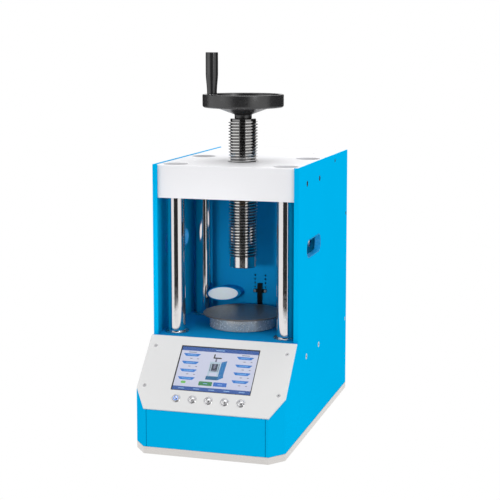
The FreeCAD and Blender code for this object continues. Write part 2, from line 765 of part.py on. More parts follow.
def column_profile():
    r = COLUMN_DIA / 2
    end = COLUMN_END_DIA / 2
    bottom = FLOOR_UNDER - COLUMN_SOCKET
    top = CROSS_TOP - 3
    return [(0, bottom), (r - 1, bottom), (r, bottom + 1), (r, CROSSHEAD_BOTTOM),
            (end, CROSSHEAD_BOTTOM), (end, top - 1.5), (end - 1.5, top), (0, top)]


def columns():
    return Part.makeCompound([turned(column_profile(), x, y) for x, y in column_places()])


def column_collars():
    r0 = COLUMN_DIA / 2
    r1 = COLLAR_DIA / 2
    top = FLOOR_TOP + COLLAR_HIGH
    profile = [(r0, FLOOR_TOP), (r1, FLOOR_TOP), (r1, top - 1), (r1 - 1, top), (r0, top)]
    return Part.makeCompound([turned(profile, x, y) for x, y in column_places()])


def column_nuts():
    r0 = COLUMN_END_DIA / 2
    r1 = NUT_DIA / 2
    low = CROSS_TOP - NUT_POCKET_DEEP
    top = low + NUT_HIGH
    profile = [(r0, low), (r1, low), (r1, top - 1.5), (r1 - 1.5, top), (r0 + 1, top), (r0, top - 1)]
    nuts = []
    for x, y in column_places():
        slots = []
        for k in range(4):
            slot = block(r1 - 4, r1 + 1, -3, 3, low, top)
            slot.rotate(Vector(0, 0, 0), ZA, 45 + 90 * k)
            slot.translate(Vector(x, y, 0))
            slots.append(slot)
        nuts.append(cut(turned(profile, x, y), slots))
    return Part.makeCompound(nuts)


# ---------------------------------------------------------------- crosshead
def crosshead():
    beam = block(-INNER, INNER, CROSS_FRONT, CROSS_REAR, CROSSHEAD_BOTTOM, CROSS_TOP)
    beam = chamfer_edges(beam, 0.8, lambda e: along(e, XA))
    low = CROSSHEAD_BOTTOM
    holes = [rod(SCREW_DIA + 3, (0, AXIS_Y, low), (0, AXIS_Y, CROSS_TOP)),
             rod(SCREW_NUT_DIA, (0, AXIS_Y, low), (0, AXIS_Y, low + SCREW_NUT_LONG)),
             rod(SCREW_NUT_FLANGE, (0, AXIS_Y, low), (0, AXIS_Y, low + SCREW_NUT_FLANGE_THICK))]
    for x, y in column_places():
        holes.append(rod(COLUMN_END_DIA, (x, y, low), (x, y, CROSS_TOP)))
        holes.append(rod(NUT_POCKET_DIA, (x, y, CROSS_TOP - NUT_POCKET_DEEP), (x, y, CROSS_TOP)))
    return cut(beam, holes + m6_holes())


def screw_nut():
    bore = SCREW_DIA / 2 + NUT_CLEARANCE
    low = CROSSHEAD_BOTTOM
    top = low + SCREW_NUT_LONG
    body = SCREW_NUT_DIA / 2
    flange = SCREW_NUT_FLANGE / 2
    step = low + SCREW_NUT_FLANGE_THICK
    profile = [(bore + 1.5, low), (flange, low), (flange, step), (body, step),
               (body, top), (bore + 1.5, top), (bore, top - 1.5), (bore, low + 1.5)]
    return turned(profile, 0, AXIS_Y)


# ---------------------------------------------------------------- cylinder block and ram
def cylinder_block():
    body = block(-INNER, INNER, BLOCK_FRONT, BLOCK_REAR, BASE_THICK, FLOOR_UNDER)
    half = BLOCK_TUNNEL_WIDTH / 2
    tools = [block(-half, half, BLOCK_FRONT, BLOCK_REAR, BASE_THICK, BLOCK_TUNNEL_TOP),
             rod(BORE_DIA, (0, AXIS_Y, BORE_FLOOR), (0, AXIS_Y, FLOOR_UNDER)),
             rod(WIPER_DIA, (0, AXIS_Y, FLOOR_UNDER - WIPER_HIGH), (0, AXIS_Y, FLOOR_UNDER)),
             rod(OIL_PORT_DIA, (OIL_PORT_X, AXIS_Y, OIL_PORT_Z), (OIL_PORT_X, BLOCK_REAR, OIL_PORT_Z))]
    for x, y in column_places():
        tools.append(rod(COLUMN_DIA, (x, y, FLOOR_UNDER - COLUMN_SOCKET), (x, y, FLOOR_UNDER)))
    for x, y in bolt_places():
        tools.append(rod(BOLT_DIA, (x, y, BASE_THICK), (x, y, BOLT_LONG + 2)))
    return cut(body, tools + m6_holes())


def dust_wiper():
    top = FLOOR_UNDER
    low = top - WIPER_HIGH
    r0 = BORE_DIA / 2 + EDGE_GAP
    r1 = WIPER_DIA / 2
    profile = [(r0 + 1, low), (r1, low), (r1, top), (r0 + 2, top), (r0, top - 2), (r0, low + 1)]
    return turned(profile, 0, AXIS_Y)


def piston():
    r = BORE_DIA / 2 - RAM_FIT
    head = HEAD_DIA / 2
    top = PLATEN_BOTTOM + HEAD_LONG
    profile = [(0, RAM_REST), (r - 1.5, RAM_REST), (r, RAM_REST + 1.5), (r, SEAL_LOW),
               (r - SEAL_DEEP, SEAL_LOW), (r - SEAL_DEEP, SEAL_LOW + SEAL_HIGH),
               (r, SEAL_LOW + SEAL_HIGH), (r, PLATEN_BOTTOM), (head, PLATEN_BOTTOM),
               (head, top - 1), (head - 1, top), (0, top)]
    return turned(profile, 0, AXIS_Y)


def piston_seal():
    r = BORE_DIA / 2
    inner = r - RAM_FIT - SEAL_DEEP
    outer = r - 0.1
    low = SEAL_LOW + 0.2
    top = SEAL_LOW + SEAL_HIGH - 0.2
    profile = [(inner, low), (outer - 0.8, low), (outer, low + 0.8), (outer, top - 0.8),
               (outer - 0.8, top), (inner, top)]
    return turned(profile, 0, AXIS_Y)


def platen():
    """Turned drum that caps the piston's head and carries the plate."""
    r = PLATEN_DIA / 2
    top = PLATE_BOTTOM
    pocket = PLATE_SPIGOT / 2
    head = HEAD_DIA / 2 + RAM_FIT
    roof = PLATEN_BOTTOM + HEAD_LONG + EDGE_GAP
    floor = top - PLATE_SPIGOT_LONG - 1
    profile = [(0, roof), (head, roof), (head, PLATEN_BOTTOM), (r - 1, PLATEN_BOTTOM),
               (r, PLATEN_BOTTOM + 1), (r, top - 0.6), (r - 0.6, top), (pocket, top),
               (pocket, floor), (0, floor)]
    return turned(profile, 0, AXIS_Y)


def platen_plate():
    r = PLATE_DIA / 2
    low = PLATE_BOTTOM
    top = low + PLATE_THICK
    pin = PLATE_SPIGOT / 2 - 0.05
    profile = [(0, low - PLATE_SPIGOT_LONG), (pin, low - PLATE_SPIGOT_LONG), (pin, low), (r - 0.4, low),
               (r, low + 0.4), (r, top - 0.6), (r - 0.6, top), (0, top)]
    return turned(profile, 0, AXIS_Y)


# ---------------------------------------------------------------- screw, foot, wheel
def threaded_run():
    """Core with a whole number of turns of right-hand V thread, square at both ends."""
    turns = RUN_TURNS
    root = SCREW_DIA / 2 - THREAD_DEPTH
    crest = SCREW_DIA / 2
    pitch = SCREW_PITCH
    helix = Part.makeHelix(pitch, pitch * (turns + 2), root)
    helix.translate(Vector(0, 0, -pitch))
    sunk = 0.3
    base = THREAD_ROOT / 2
    tip = THREAD_CREST / 2
    foot = base + (base - tip) / THREAD_DEPTH * sunk
    corners = [Vector(root - sunk, 0, -pitch - foot), Vector(crest, 0, -pitch - tip),
               Vector(crest, 0, -pitch + tip), Vector(root - sunk, 0, -pitch + foot)]
    section = Part.makePolygon(corners + [corners[0]])
    ridge = Part.Wire(helix).makePipeShell([section], True, True)
    core = rod(2 * root, (0, 0, -2 * pitch), (0, 0, pitch * (turns + 2)))
    return core.fuse(ridge).common(rod(SCREW_DIA + 6, (0, 0, 0), (0, 0, pitch * turns)))


def threaded_length():
    """Equal runs, moved end to end and joined in pairs."""
    run = threaded_run()
    level = []
    for k in range(THREAD_RUNS):
        piece = run.copy()
        piece.translate(Vector(0, 0, THREAD_LOW + k * RUN_LONG))
        level.append(piece)
    while len(level) > 1:
        joined = [a.fuse(b) for a, b in zip(level[::2], level[1::2])]
        if len(level) % 2:
            joined.append(level[-1])
        level = joined
    return level[0]


def lead_screw():
    """Threaded spindle with a spigot for the foot and a seat for the wheel."""
    root = SCREW_DIA / 2 - THREAD_DEPTH
    spigot = SPIGOT_DIA / 2
    seat = WHEEL_BORE / 2
    tapped = TAPPED / 2
    low = SCREW_BOTTOM - SPIGOT_LONG
    seat_top = SCREW_TOP + WHEEL_SEAT_LONG
    groove = GRUB_Z - GRUB_DIA / 2
    lower = [(0, low), (spigot - 1, low), (spigot, low + 1), (spigot, groove),
             (spigot - 2, groove), (spigot - 2, groove + GRUB_DIA), (spigot, groove + GRUB_DIA),
             (spigot, SCREW_BOTTOM), (root, SCREW_BOTTOM), (root, THREAD_LOW), (0, THREAD_LOW)]
    upper = [(0, THREAD_TOP), (root, THREAD_TOP), (root, SCREW_TOP - 1), (root - 1, SCREW_TOP),
             (seat, SCREW_TOP), (seat, seat_top - 1), (seat - 1, seat_top), (tapped, seat_top),
             (tapped, SCREW_TOP + 2), (0, SCREW_TOP + 2)]
    screw = threaded_length().fuse(turned(lower)).fuse(turned(upper))
    screw.translate(Vector(0, AXIS_Y, 0))
    return screw


def press_foot():
    """Swivelling foot; its blind bore turns on the screw's spigot."""
    r = FOOT_DIA / 2
    bore = SPIGOT_DIA / 2 + SWIVEL_FIT
    floor = SCREW_BOTTOM - SPIGOT_LONG - 0.5
    profile = [(0, FOOT_BOTTOM), (r - 1, FOOT_BOTTOM), (r, FOOT_BOTTOM + 1), (r, SCREW_BOTTOM - 0.5),
               (r - 0.5, SCREW_BOTTOM), (bore, SCREW_BOTTOM), (bore, floor), (0, floor)]
    foot = turned(profile, 0, AXIS_Y)
    hole = rod(GRUB_DIA, (-r - 1, AXIS_Y, GRUB_Z), (r + 1, AXIS_Y, GRUB_Z))
    return foot.cut(hole)


def foot_grub_screws():
    """Two grub screws whose points run in the spigot's groove and hold the foot up."""
    screws = []
    tip = SPIGOT_DIA / 2 - 1.5
    end = FOOT_DIA / 2 - 1
    for side in (-1, 1):
        def at(x):
            return (side * x, AXIS_Y, GRUB_Z)

        screw = rod(GRUB_DIA, at(tip + 1.5), at(end))
        point = rod(GRUB_DIA - 1.5, at(tip), at(tip + 2))
        screws.append(fuse([screw, point]).cut(rod(GRUB_DIA / 2, at(end - 2.5), at(end))))
    return Part.makeCompound(screws)


def handwheel():
    """Dished wheel: hub, conical web, flat under a broad rim, and a boss under the grip."""
    r = WHEEL_DIA / 2
    hub = WHEEL_HUB_DIA / 2
    flat = WHEEL_FLAT_DIA / 2
    low = SCREW_TOP
    web = low + WHEEL_HUB_LOW
    rim = WHEEL_RIM_BOTTOM
    soft = WHEEL_RIM_CORNER
    dish = rim + WEB_THICK
    inner = r - RIM_WALL
    hub_top = low + WHEEL_SEAT_LONG
    bore = WHEEL_BORE / 2
    profile = [(bore, low), (hub - 1, low), (hub, low + 1), (hub, web), (flat, rim),
               (r - soft, rim), (r - soft * 0.62, rim + soft * 0.08), (r - soft * 0.29, rim + soft * 0.29),
               (r - soft * 0.08, rim + soft * 0.62), (r, rim + soft), (r, RIM_TOP - 2),
               (r - 2, RIM_TOP), (inner + 2, RIM_TOP), (inner, RIM_TOP - 2), (inner - 2, dish),
               (flat - 3, dish), (hub + 6, web + WEB_THICK), (hub + 2, hub_top - 1),
               (hub + 1, hub_top), (bore, hub_top)]
    wheel = turned(profile, 0, AXIS_Y)
    boss = rod(GRIP_BASE_DIA + 3, (GRIP_X, GRIP_Y, rim + 2), (GRIP_X, GRIP_Y, RIM_TOP))
    wheel = fuse([wheel, boss])
    return wheel.cut(rod(SPINDLE_DIA, (GRIP_X, GRIP_Y, rim - 2), (GRIP_X, GRIP_Y, RIM_TOP + 1)))


def wheel_bolt():
    """Socket screw and thick washer that hold the wheel on the screw's end."""
    z = SCREW_TOP + WHEEL_SEAT_LONG
    washer = rod(24, (0, AXIS_Y, z), (0, AXIS_Y, z + 3))
    head = rod(13, (0, AXIS_Y, z + 3), (0, AXIS_Y, z + 11))
    shank = rod(TAPPED, (0, AXIS_Y, z - 20), (0, AXIS_Y, z))
    socket = hexagon(6, 5, (0, AXIS_Y, z + 6))
    return fuse([washer, head, shank]).cut(socket)


def grip_spindle():
    """Shouldered bolt: fixed in the rim, its head inside the grip's top."""
    low = WHEEL_RIM_BOTTOM + 2
    neck = RIM_TOP + SPINDLE_NECK
    under = SPINDLE_TOP - SPINDLE_HEAD_HIGH
    r = SPINDLE_DIA / 2
    head = SPINDLE_HEAD / 2
    profile = [(0, low), (r, low), (r, RIM_TOP), (r + 3, RIM_TOP), (r + 3, neck), (r, neck),
               (r, under), (head, under), (head, SPINDLE_TOP), (0, SPINDLE_TOP)]
    return turned(profile, GRIP_X, GRIP_Y)


def grip_handle():
    """Revolving grip, straight above and tapering to its base, hollow around the spindle."""
    low = GRIP_LOW
    top = RIM_TOP + SPINDLE_NECK + GRIP_LONG
    base = GRIP_BASE_DIA / 2
    wide = GRIP_TOP_DIA / 2
    bore = SPINDLE_DIA / 2 + 0.1
    pocket = SPINDLE_HEAD / 2 + EDGE_GAP
    roof = SPINDLE_TOP + EDGE_GAP
    ledge = SPINDLE_TOP - SPINDLE_HEAD_HIGH - EDGE_GAP
    profile = [(bore, low), (base - 1, low), (base, low + 1), (base + 0.3, low + 10),
               (base + 1.0, low + 20), (wide - 0.4, low + 34), (wide, low + 44), (wide, top - 1.2),
               (wide - 1.2, top), (0, top), (0, roof), (pocket, roof), (pocket, ledge), (bore, ledge)]
    return turned(profile, GRIP_X, GRIP_Y)


# ---------------------------------------------------------------- rear covers
def louvre_places():
    for x in (-INNER / 2, INNER / 2):
        for k in range(LOUVRE_COUNT):
            yield x - LOUVRE_LONG / 2, LOUVRE_LOW + k * LOUVRE_PITCH


def louvre_hood(x0, z):
    """Small sloping roof over a louvre."""
    out = REAR_WEB + HOOD_PROUD
    drop = HOOD_PROUD * 0.8
    outline = [(x0, REAR_WEB, z), (x0, out, z - drop), (x0, out, z - drop + HOOD_SHEET),
               (x0, REAR_WEB, z + HOOD_SHEET)]
    return prism(outline, (LOUVRE_LONG, 0, 0))


def rear_panel():
    top = COVER_UNDER - EDGE_GAP
    low = BASE_THICK
    panel = block(-INNER, INNER, REAR_WEB - THIN_SHEET, REAR_WEB, low, top)
    shapes = [panel]
    for x0, x1 in ((-INNER, -INNER + THIN_SHEET), (INNER - THIN_SHEET, INNER)):
        shapes.append(block(x0, x1, REAR_WEB - REAR_FLANGE, REAR_WEB, low, top))
    tools = m4_holes()
    w, h = ENTRY_BODY
    tools.append(block(ENTRY_X - w / 2, ENTRY_X + w / 2, REAR_WEB - THIN_SHEET, REAR_WEB,
                       ENTRY_Z - h / 2, ENTRY_Z + h / 2))
    for x0, z in louvre_places():
        tools.append(block(x0, x0 + LOUVRE_LONG, REAR_WEB - THIN_SHEET, REAR_WEB, z, z + LOUVRE_HIGH))
        shapes.append(louvre_hood(x0, z + LOUVRE_HIGH))
    return cut(fuse(shapes), tools)


def rear_top_cover():
    edge = INNER
    top = CROSS_TOP
    under = COVER_UNDER
    sheet = block(-edge, edge, CROSS_REAR + EDGE_GAP, Y_REAR - 1, under, top)
    shapes = [sheet]
    for x0, x1 in ((-edge, -edge + THIN_SHEET), (edge - THIN_SHEET, edge)):
        shapes.append(block(x0, x1, CROSS_REAR + 5, REAR_WEB - REAR_FLANGE - 5, top - 28, top))
    tools = m4_holes()
    for x, y in top_screw_places():
        tools.append(cone(M4["shank"], TOP_SCREW_HEAD, (x, y, top - TOP_SCREW_DEEP), (x, y, top)))
        tools.append(rod(M4["shank"], (x, y, under - 1), (x, y, top)))
    return cut(fuse(shapes), tools)


# ---------------------------------------------------------------- rear compartment
def electronics_plate():
    """Upright mounting plate with a foot and a head flange."""
    y = ELECTRONICS_Y
    edge = INNER - 12
    web = block(-edge, edge, y, y + THIN_SHEET, BASE_THICK, COVER_UNDER)
    head = block(-edge, edge, y - 16, y, COVER_UNDER - THIN_SHEET, COVER_UNDER)
    foot = block(-edge, edge, y, y + 16, BASE_THICK, BASE_THICK + THIN_SHEET)
    holes = [rod(4.0, (x, yy, COVER_UNDER - 3), (x, yy, COVER_UNDER)) for x, yy in top_screw_places()]
    return cut(fuse([web, head, foot]), holes)


def power_supply():
    """Enclosed supply with a row of slots in its lid."""
    y = ELECTRONICS_Y + THIN_SHEET
    back = y + SUPPLY_DEEP
    body = block(SUPPLY_LEFT, SUPPLY_RIGHT, y, back, ELECTRONICS_LOW, ELECTRONICS_TOP)
    slots = []
    for k in range(SUPPLY_SLOTS):
        z = ELECTRONICS_LOW + 16 + 15 * k
        slots.append(block(SUPPLY_LEFT + 10, SUPPLY_RIGHT - 22, back - 2, back + 1, z, z + 6))
    return cut(body, slots)


def controller_board():
    """Circuit board on four posts, with relays, a heat sink and terminal strips."""
    y = ELECTRONICS_Y + THIN_SHEET
    pcb = y + BOARD_STAND
    face = pcb + BOARD_THICK
    left = BOARD_LEFT
    low = ELECTRONICS_LOW
    shapes = [block(left, BOARD_RIGHT, pcb, face, low, ELECTRONICS_TOP)]
    for x in (left + 7, BOARD_RIGHT - 7):
        for z in (low + 7, ELECTRONICS_TOP - 7):
            shapes.append(rod(6, (x, y, z), (x, pcb, z)))
            shapes.append(rod(7, (x, face, z), (x, face + 2, z)))
    relays = [(left + 15 + 22 * k, low + 110, 16, 28, 16.4) for k in range(4)]
    terminals = [(left + 25 + 12 * k, low + 8, 10, 10, 12.4) for k in range(6)]
    sink_fins = [(left + 25 + 8 * k, low + 45, 2.5, 45, 24.4) for k in range(6)]
    sink = [(left + 25, low + 45, 42.5, 45, 6)]
    chips = [(left + 79, low + 50, 28, 28, 3.4), (left + 80, low + 86, 20, 12, 3)]
    for x, z, wide, high, deep in relays + terminals + sink_fins + sink + chips:
        shapes.append(block(x, x + wide, face, face + deep, z, z + high))
    for k in range(3):
        z = low + 16 + 13 * k
        shapes.append(rod(10, (BOARD_RIGHT - 12, face, z), (BOARD_RIGHT - 12, face + 18, z)))
    return fuse(shapes)


def on_shaft(x):
    return (x, PACK_Y, PACK_AXIS_Z)


def motor_housing():
    """Horizontal motor: finned barrel on a foot, bored for the rotor."""
    r = MOTOR_DIA / 2
    foot = MOTOR_FOOT / 2
    z = PACK_AXIS_Z
    body = fuse([rod(MOTOR_DIA, on_shaft(MOTOR_LEFT), on_shaft(BLOCK_LEFT)),
                 block(MOTOR_LEFT + 15, BLOCK_LEFT - 15, PACK_Y - foot, PACK_Y + foot,
                       BASE_THICK, z - r / 2)])
    tools = [rod(ROTOR_DIA + 1, on_shaft(MOTOR_LEFT + MOTOR_CAP), on_shaft(BLOCK_LEFT - MOTOR_CAP)),
             rod(SHAFT_DIA + 0.2, on_shaft(MOTOR_LEFT + 4), on_shaft(BLOCK_LEFT))]
    for k in range(FIN_COUNT):
        x = MOTOR_LEFT + 18 + FIN_PITCH * k
        ring = rod(MOTOR_DIA + 2, on_shaft(x), on_shaft(x + FIN_SLOT))
        ring = ring.cut(rod(MOTOR_DIA - 8, on_shaft(x), on_shaft(x + FIN_SLOT)))
        keep = block(x, x + FIN_SLOT, PACK_Y - r - 2, PACK_Y + r + 2, z - 18, z + r + 2)
        tools.append(ring.common(keep))
    return cut(body, tools)


def motor_rotor():
    """Rotor and its long shaft, which reaches the pump through the valve block."""
    shaft = rod(SHAFT_DIA, on_shaft(MOTOR_LEFT + 5), on_shaft(TANK_LEFT + PUMP_SHAFT - 2))
    core = rod(ROTOR_DIA, on_shaft(MOTOR_LEFT + MOTOR_CAP + 4), on_shaft(BLOCK_LEFT - MOTOR_CAP - 4))
    return fuse([shaft, core])


def valve_block():
    """Block between motor and tank: shaft passage, pressure port and sensor port."""
    rear = PACK_FRONT + PACK_DEEP
    body = block(BLOCK_LEFT, TANK_LEFT, PACK_FRONT, rear, BASE_THICK, PACK_TOP)
    body = chamfer_edges(body, 1.0, lambda e: along(e, XA))
    take_y = PACK_FRONT + PIPE_TAKE
    shaft = rod(SHAFT_DIA + 0.8, on_shaft(BLOCK_LEFT), on_shaft(TANK_LEFT))
    port = rod(OIL_PORT_DIA, (OIL_PORT_X, take_y, PACK_TOP - 18), (OIL_PORT_X, take_y, PACK_TOP))
    sensor = rod(SENSOR_STEM, (SENSOR_X, SENSOR_Y, PACK_TOP - 12), (SENSOR_X, SENSOR_Y, PACK_TOP))
    return cut(body, [shaft, port, sensor])


def pressure_sensor():
    x, y, z = SENSOR_X, SENSOR_Y, PACK_TOP
    hex_high = SENSOR_STEM
    can_top = z + SENSOR_HIGH - 12
    stem = rod(SENSOR_STEM, (x, y, z - SENSOR_STEM), (x, y, z))
    nut = hexagon(SENSOR_DIA + 2, hex_high, (x, y, z))
    body = rod(SENSOR_DIA, (x, y, z + hex_high), (x, y, can_top))
    plug = rod(SENSOR_DIA - 8, (x, y, can_top), (x, y, z + SENSOR_HIGH))
    return fuse([stem, nut, body, plug])


def gear_pump():
    """Pump bolted to the valve block inside the tank, driven by the motor shaft."""
    half = PUMP_WIDE / 2
    body = block(TANK_LEFT, TANK_LEFT + PUMP_LONG, PACK_Y - half, PACK_Y + half,
                 PACK_AXIS_Z - PUMP_DOWN, PACK_AXIS_Z + PUMP_UP)
    body = chamfer_edges(body, 3.0, lambda e: along(e, XA))
    return body.cut(rod(SHAFT_DIA + 0.2, on_shaft(TANK_LEFT), on_shaft(TANK_LEFT + PUMP_SHAFT)))


def oil_tank():
    """Open on the valve block's side, so that the pump hangs in the oil."""
    low = BASE_THICK + TANK_LIFT
    y0 = PACK_FRONT
    y1 = PACK_FRONT + PACK_DEEP
    wall = TANK_WALL
    outer = block(TANK_LEFT, TANK_RIGHT, y0, y1, low, PACK_TOP)
    outer = fillet_edges(outer, 6.0, lambda e: along(e, XA))
    inner = block(TANK_LEFT, TANK_RIGHT - wall, y0 + wall, y1 - wall, low + wall, PACK_TOP - wall)
    filler = rod(CAP_NECK, (CAP_X, PACK_Y, PACK_TOP - wall), (CAP_X, PACK_Y, PACK_TOP))
    return cut(outer, [inner, filler])


def filler_cap():
    """Ribbed screw cap with its neck in the tank."""
    z = PACK_TOP
    cap = rod(CAP_DIA, (CAP_X, PACK_Y, z), (CAP_X, PACK_Y, z + CAP_HIGH))
    neck = rod(CAP_NECK, (CAP_X, PACK_Y, z - 8), (CAP_X, PACK_Y, z))
    grooves = []
    for k in range(CAP_GROOVES):
        turn = 2 * math.pi * k / CAP_GROOVES
        x = CAP_X + (CAP_DIA + 1) / 2 * math.cos(turn)
        y = PACK_Y + (CAP_DIA + 1) / 2 * math.sin(turn)
        grooves.append(rod(3, (x, y, z), (x, y, z + CAP_HIGH)))
    return cut(fuse([cap, neck]), grooves)


def bent_path(points, radius):
    """Straight runs through the points, joined by tangent arcs."""
    knots = [Vector(*p) for p in points]
    edges = []
    start = knots[0]
    for before, corner, after in zip(knots, knots[1:], knots[2:]):
        back = (before - corner).normalize()
        ahead = (after - corner).normalize()
        half = back.getAngle(ahead) / 2
        setback = radius / math.tan(half)
        enter = corner + back * setback
        leave = corner + ahead * setback
        bisector = (back + ahead).normalize()
        middle = corner + bisector * (radius / math.sin(half) - radius)
        edges.append(Part.LineSegment(start, enter).toShape())
        edges.append(Part.Arc(enter, middle, leave).toShape())
        start = leave
    edges.append(Part.LineSegment(start, knots[-1]).toShape())
    return Part.Wire(edges)


def hydraulic_pipe():
    """Steel pressure pipe from the valve block to the cylinder block, with its two nuts."""
    x = OIL_PORT_X
    top = PACK_TOP + PIPE_RISE
    drop_y = (BLOCK_REAR + PACK_FRONT) / 2
    take_y = PACK_FRONT + PIPE_TAKE
    path = bent_path([(x, take_y, PACK_TOP), (x, take_y, top), (x, drop_y, top),
                      (x, drop_y, OIL_PORT_Z), (x, BLOCK_REAR, OIL_PORT_Z)], PIPE_BEND)
    ring = Part.Wire(Part.makeCircle(OIL_PORT_DIA / 2, Vector(x, take_y, PACK_TOP), ZA))
    tube = path.makePipeShell([ring], True, True)
    nut = hexagon(16, 10, (x, take_y, PACK_TOP))
    far_nut = hexagon(16, 7, (0, 0, 0))
    far_nut.rotate(Vector(0, 0, 0), XA, -90)
    far_nut.translate(Vector(x, BLOCK_REAR, OIL_PORT_Z))
    return fuse([tube, nut, far_nut])


def power_entry_module():
    """Mains inlet and rocker switch frame in one flanged body."""
    w, h = ENTRY_BODY
    fw, fh = ENTRY_FLANGE
    fit = 0.2
    body = block(ENTRY_X - w / 2 + fit, ENTRY_X + w / 2 - fit, REAR_WEB - 30, REAR_WEB,
                 ENTRY_Z - h / 2 + fit, ENTRY_Z + h / 2 - fit)
    flange = block(ENTRY_X - fw / 2, ENTRY_X + fw / 2, REAR_WEB, REAR_WEB + 2.5,
                   ENTRY_Z - fh / 2, ENTRY_Z + fh / 2)
    flange = chamfer_edges(flange, 1.0, lambda e: e.CenterOfMass.y > REAR_WEB + 2.4)
    socket = block(SOCKET_X - 12, SOCKET_X + 12, REAR_WEB - 17, REAR_WEB + 3, ENTRY_Z - 8, ENTRY_Z + 8)
    well = block(ROCKER_X - 6.5, ROCKER_X + 6.5, REAR_WEB - 18, REAR_WEB + 3, ENTRY_Z - 11, ENTRY_Z + 11)
    shell = cut(fuse([body, flange]), [socket, well])
    pins = []
    for dx, dz in ((-7, -2), (7, -2), (0, 2)):
        pins.append(block(SOCKET_X + dx - 1, SOCKET_X + dx + 1, REAR_WEB - 17, REAR_WEB - 6,
                          ENTRY_Z + dz - 2, ENTRY_Z + dz + 2))
    return fuse([shell] + pins)


def power_rocker():
    """Rocker, drawn tilted to its off side; it turns about X."""
    points = [(-9.5, 3.0), (-9.5, 0.5), (-5, -8), (5, -8), (9.5, 0.5), (9.5, 3.0), (0, 1.2)]
    outline = [(ROCKER_X - 6.0, REAR_WEB + y, ENTRY_Z + z) for z, y in points]
    body = prism(outline, (12.0, 0, 0))
    body.rotate(Vector(ROCKER_X, REAR_WEB, ENTRY_Z), XA, ROCKER_TILT)
    return body


# ---------------------------------------------------------------- output
NODES = {
    "base_plate": base_plate,
    "block_bolts": block_bolts,
    "cylinder_block": cylinder_block,
    "dust_wiper": dust_wiper,
    "floor_plate": floor_plate,
    "columns": columns,
    "column_collars": column_collars,
    "column_nuts": column_nuts,
    "crosshead": crosshead,
    "screw_nut": screw_nut,
    "back_wall": back_wall,
    "stroke_limit_bracket": stroke_limit_bracket,
    "bracket_screws": bracket_screws,
    "lamp_body": lamp_body,
    "lamp_lens": lamp_lens,
    "right_side_panel": side_panel,
    "left_side_panel": lambda: mirror_x(side_panel()),
    "grip_lips": grip_lips,
    "side_panel_screws": side_panel_screws,
    "cover_screws": cover_screws,
    "console_right_side": console_side,
    "console_left_side": lambda: mirror_x(console_side()),
    "console_front_cover": console_front_cover,
    "control_panel": control_panel,
    "panel_screws": panel_screws,
    "touch_glass": touch_glass,
    "display_module": display_module,
    "button_bezels": button_bezels,
    "button_nuts": button_nuts,
    "rear_panel": rear_panel,
    "rear_top_cover": rear_top_cover,
    "electronics_plate": electronics_plate,
    "power_supply": power_supply,
    "controller_board": controller_board,
    "motor_housing": motor_housing,
    "motor_rotor": motor_rotor,
    "valve_block": valve_block,
    "pressure_sensor": pressure_sensor,
    "gear_pump": gear_pump,
    "oil_tank": oil_tank,
    "filler_cap": filler_cap,
    "hydraulic_pipe": hydraulic_pipe,
    "power_entry_module": power_entry_module,
    "power_rocker": power_rocker,
    "piston": piston,
    "piston_seal": piston_seal,
    "platen": platen,
    "platen_plate": platen_plate,
    "lead_screw": lead_screw,
    "press_foot": press_foot,
    "foot_grub_screws": foot_grub_screws,
    "handwheel": handwheel,
    "wheel_bolt": wheel_bolt,
    "grip_spindle": grip_spindle,
    "grip_handle": grip_handle,
}
for number in range(BUTTON_COUNT):
    NODES["button_cap_%d" % (number + 1)] = lambda k=number: button_cap(k)


def main():
    os.makedirs("parts", exist_ok=True)
    for name, make in NODES.items():
        shape = make()
        if not shape.isValid():
            print("invalid", name)
        shape.exportStep("parts/%s.step" % name)
        print("%-22s %2d solids %12.1f mm3" % (name, len(shape.Solids), shape.Volume))


main()
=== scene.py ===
import json
import math

import bmesh
import bpy
from mathutils import Matrix, Vector

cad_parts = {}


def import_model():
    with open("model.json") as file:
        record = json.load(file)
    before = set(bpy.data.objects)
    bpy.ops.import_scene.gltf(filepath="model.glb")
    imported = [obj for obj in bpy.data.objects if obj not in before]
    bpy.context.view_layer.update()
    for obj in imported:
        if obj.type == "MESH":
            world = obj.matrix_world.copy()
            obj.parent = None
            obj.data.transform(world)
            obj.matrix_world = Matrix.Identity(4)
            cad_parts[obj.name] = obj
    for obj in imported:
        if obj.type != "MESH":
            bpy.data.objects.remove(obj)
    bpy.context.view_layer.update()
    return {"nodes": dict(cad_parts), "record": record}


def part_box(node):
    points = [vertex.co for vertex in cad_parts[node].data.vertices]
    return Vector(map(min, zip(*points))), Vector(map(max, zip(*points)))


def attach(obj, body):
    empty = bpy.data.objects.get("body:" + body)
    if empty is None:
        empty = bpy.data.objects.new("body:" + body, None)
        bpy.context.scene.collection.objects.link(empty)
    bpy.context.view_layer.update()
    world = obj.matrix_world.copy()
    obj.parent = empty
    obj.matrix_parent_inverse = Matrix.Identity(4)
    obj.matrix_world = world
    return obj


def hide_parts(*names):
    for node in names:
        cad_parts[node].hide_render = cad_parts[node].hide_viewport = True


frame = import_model()

# Tablet press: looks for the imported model. Metres; +X to the operator's right, +Y away, +Z up.
MM = 0.001
UP = Vector((0, 0, 1))

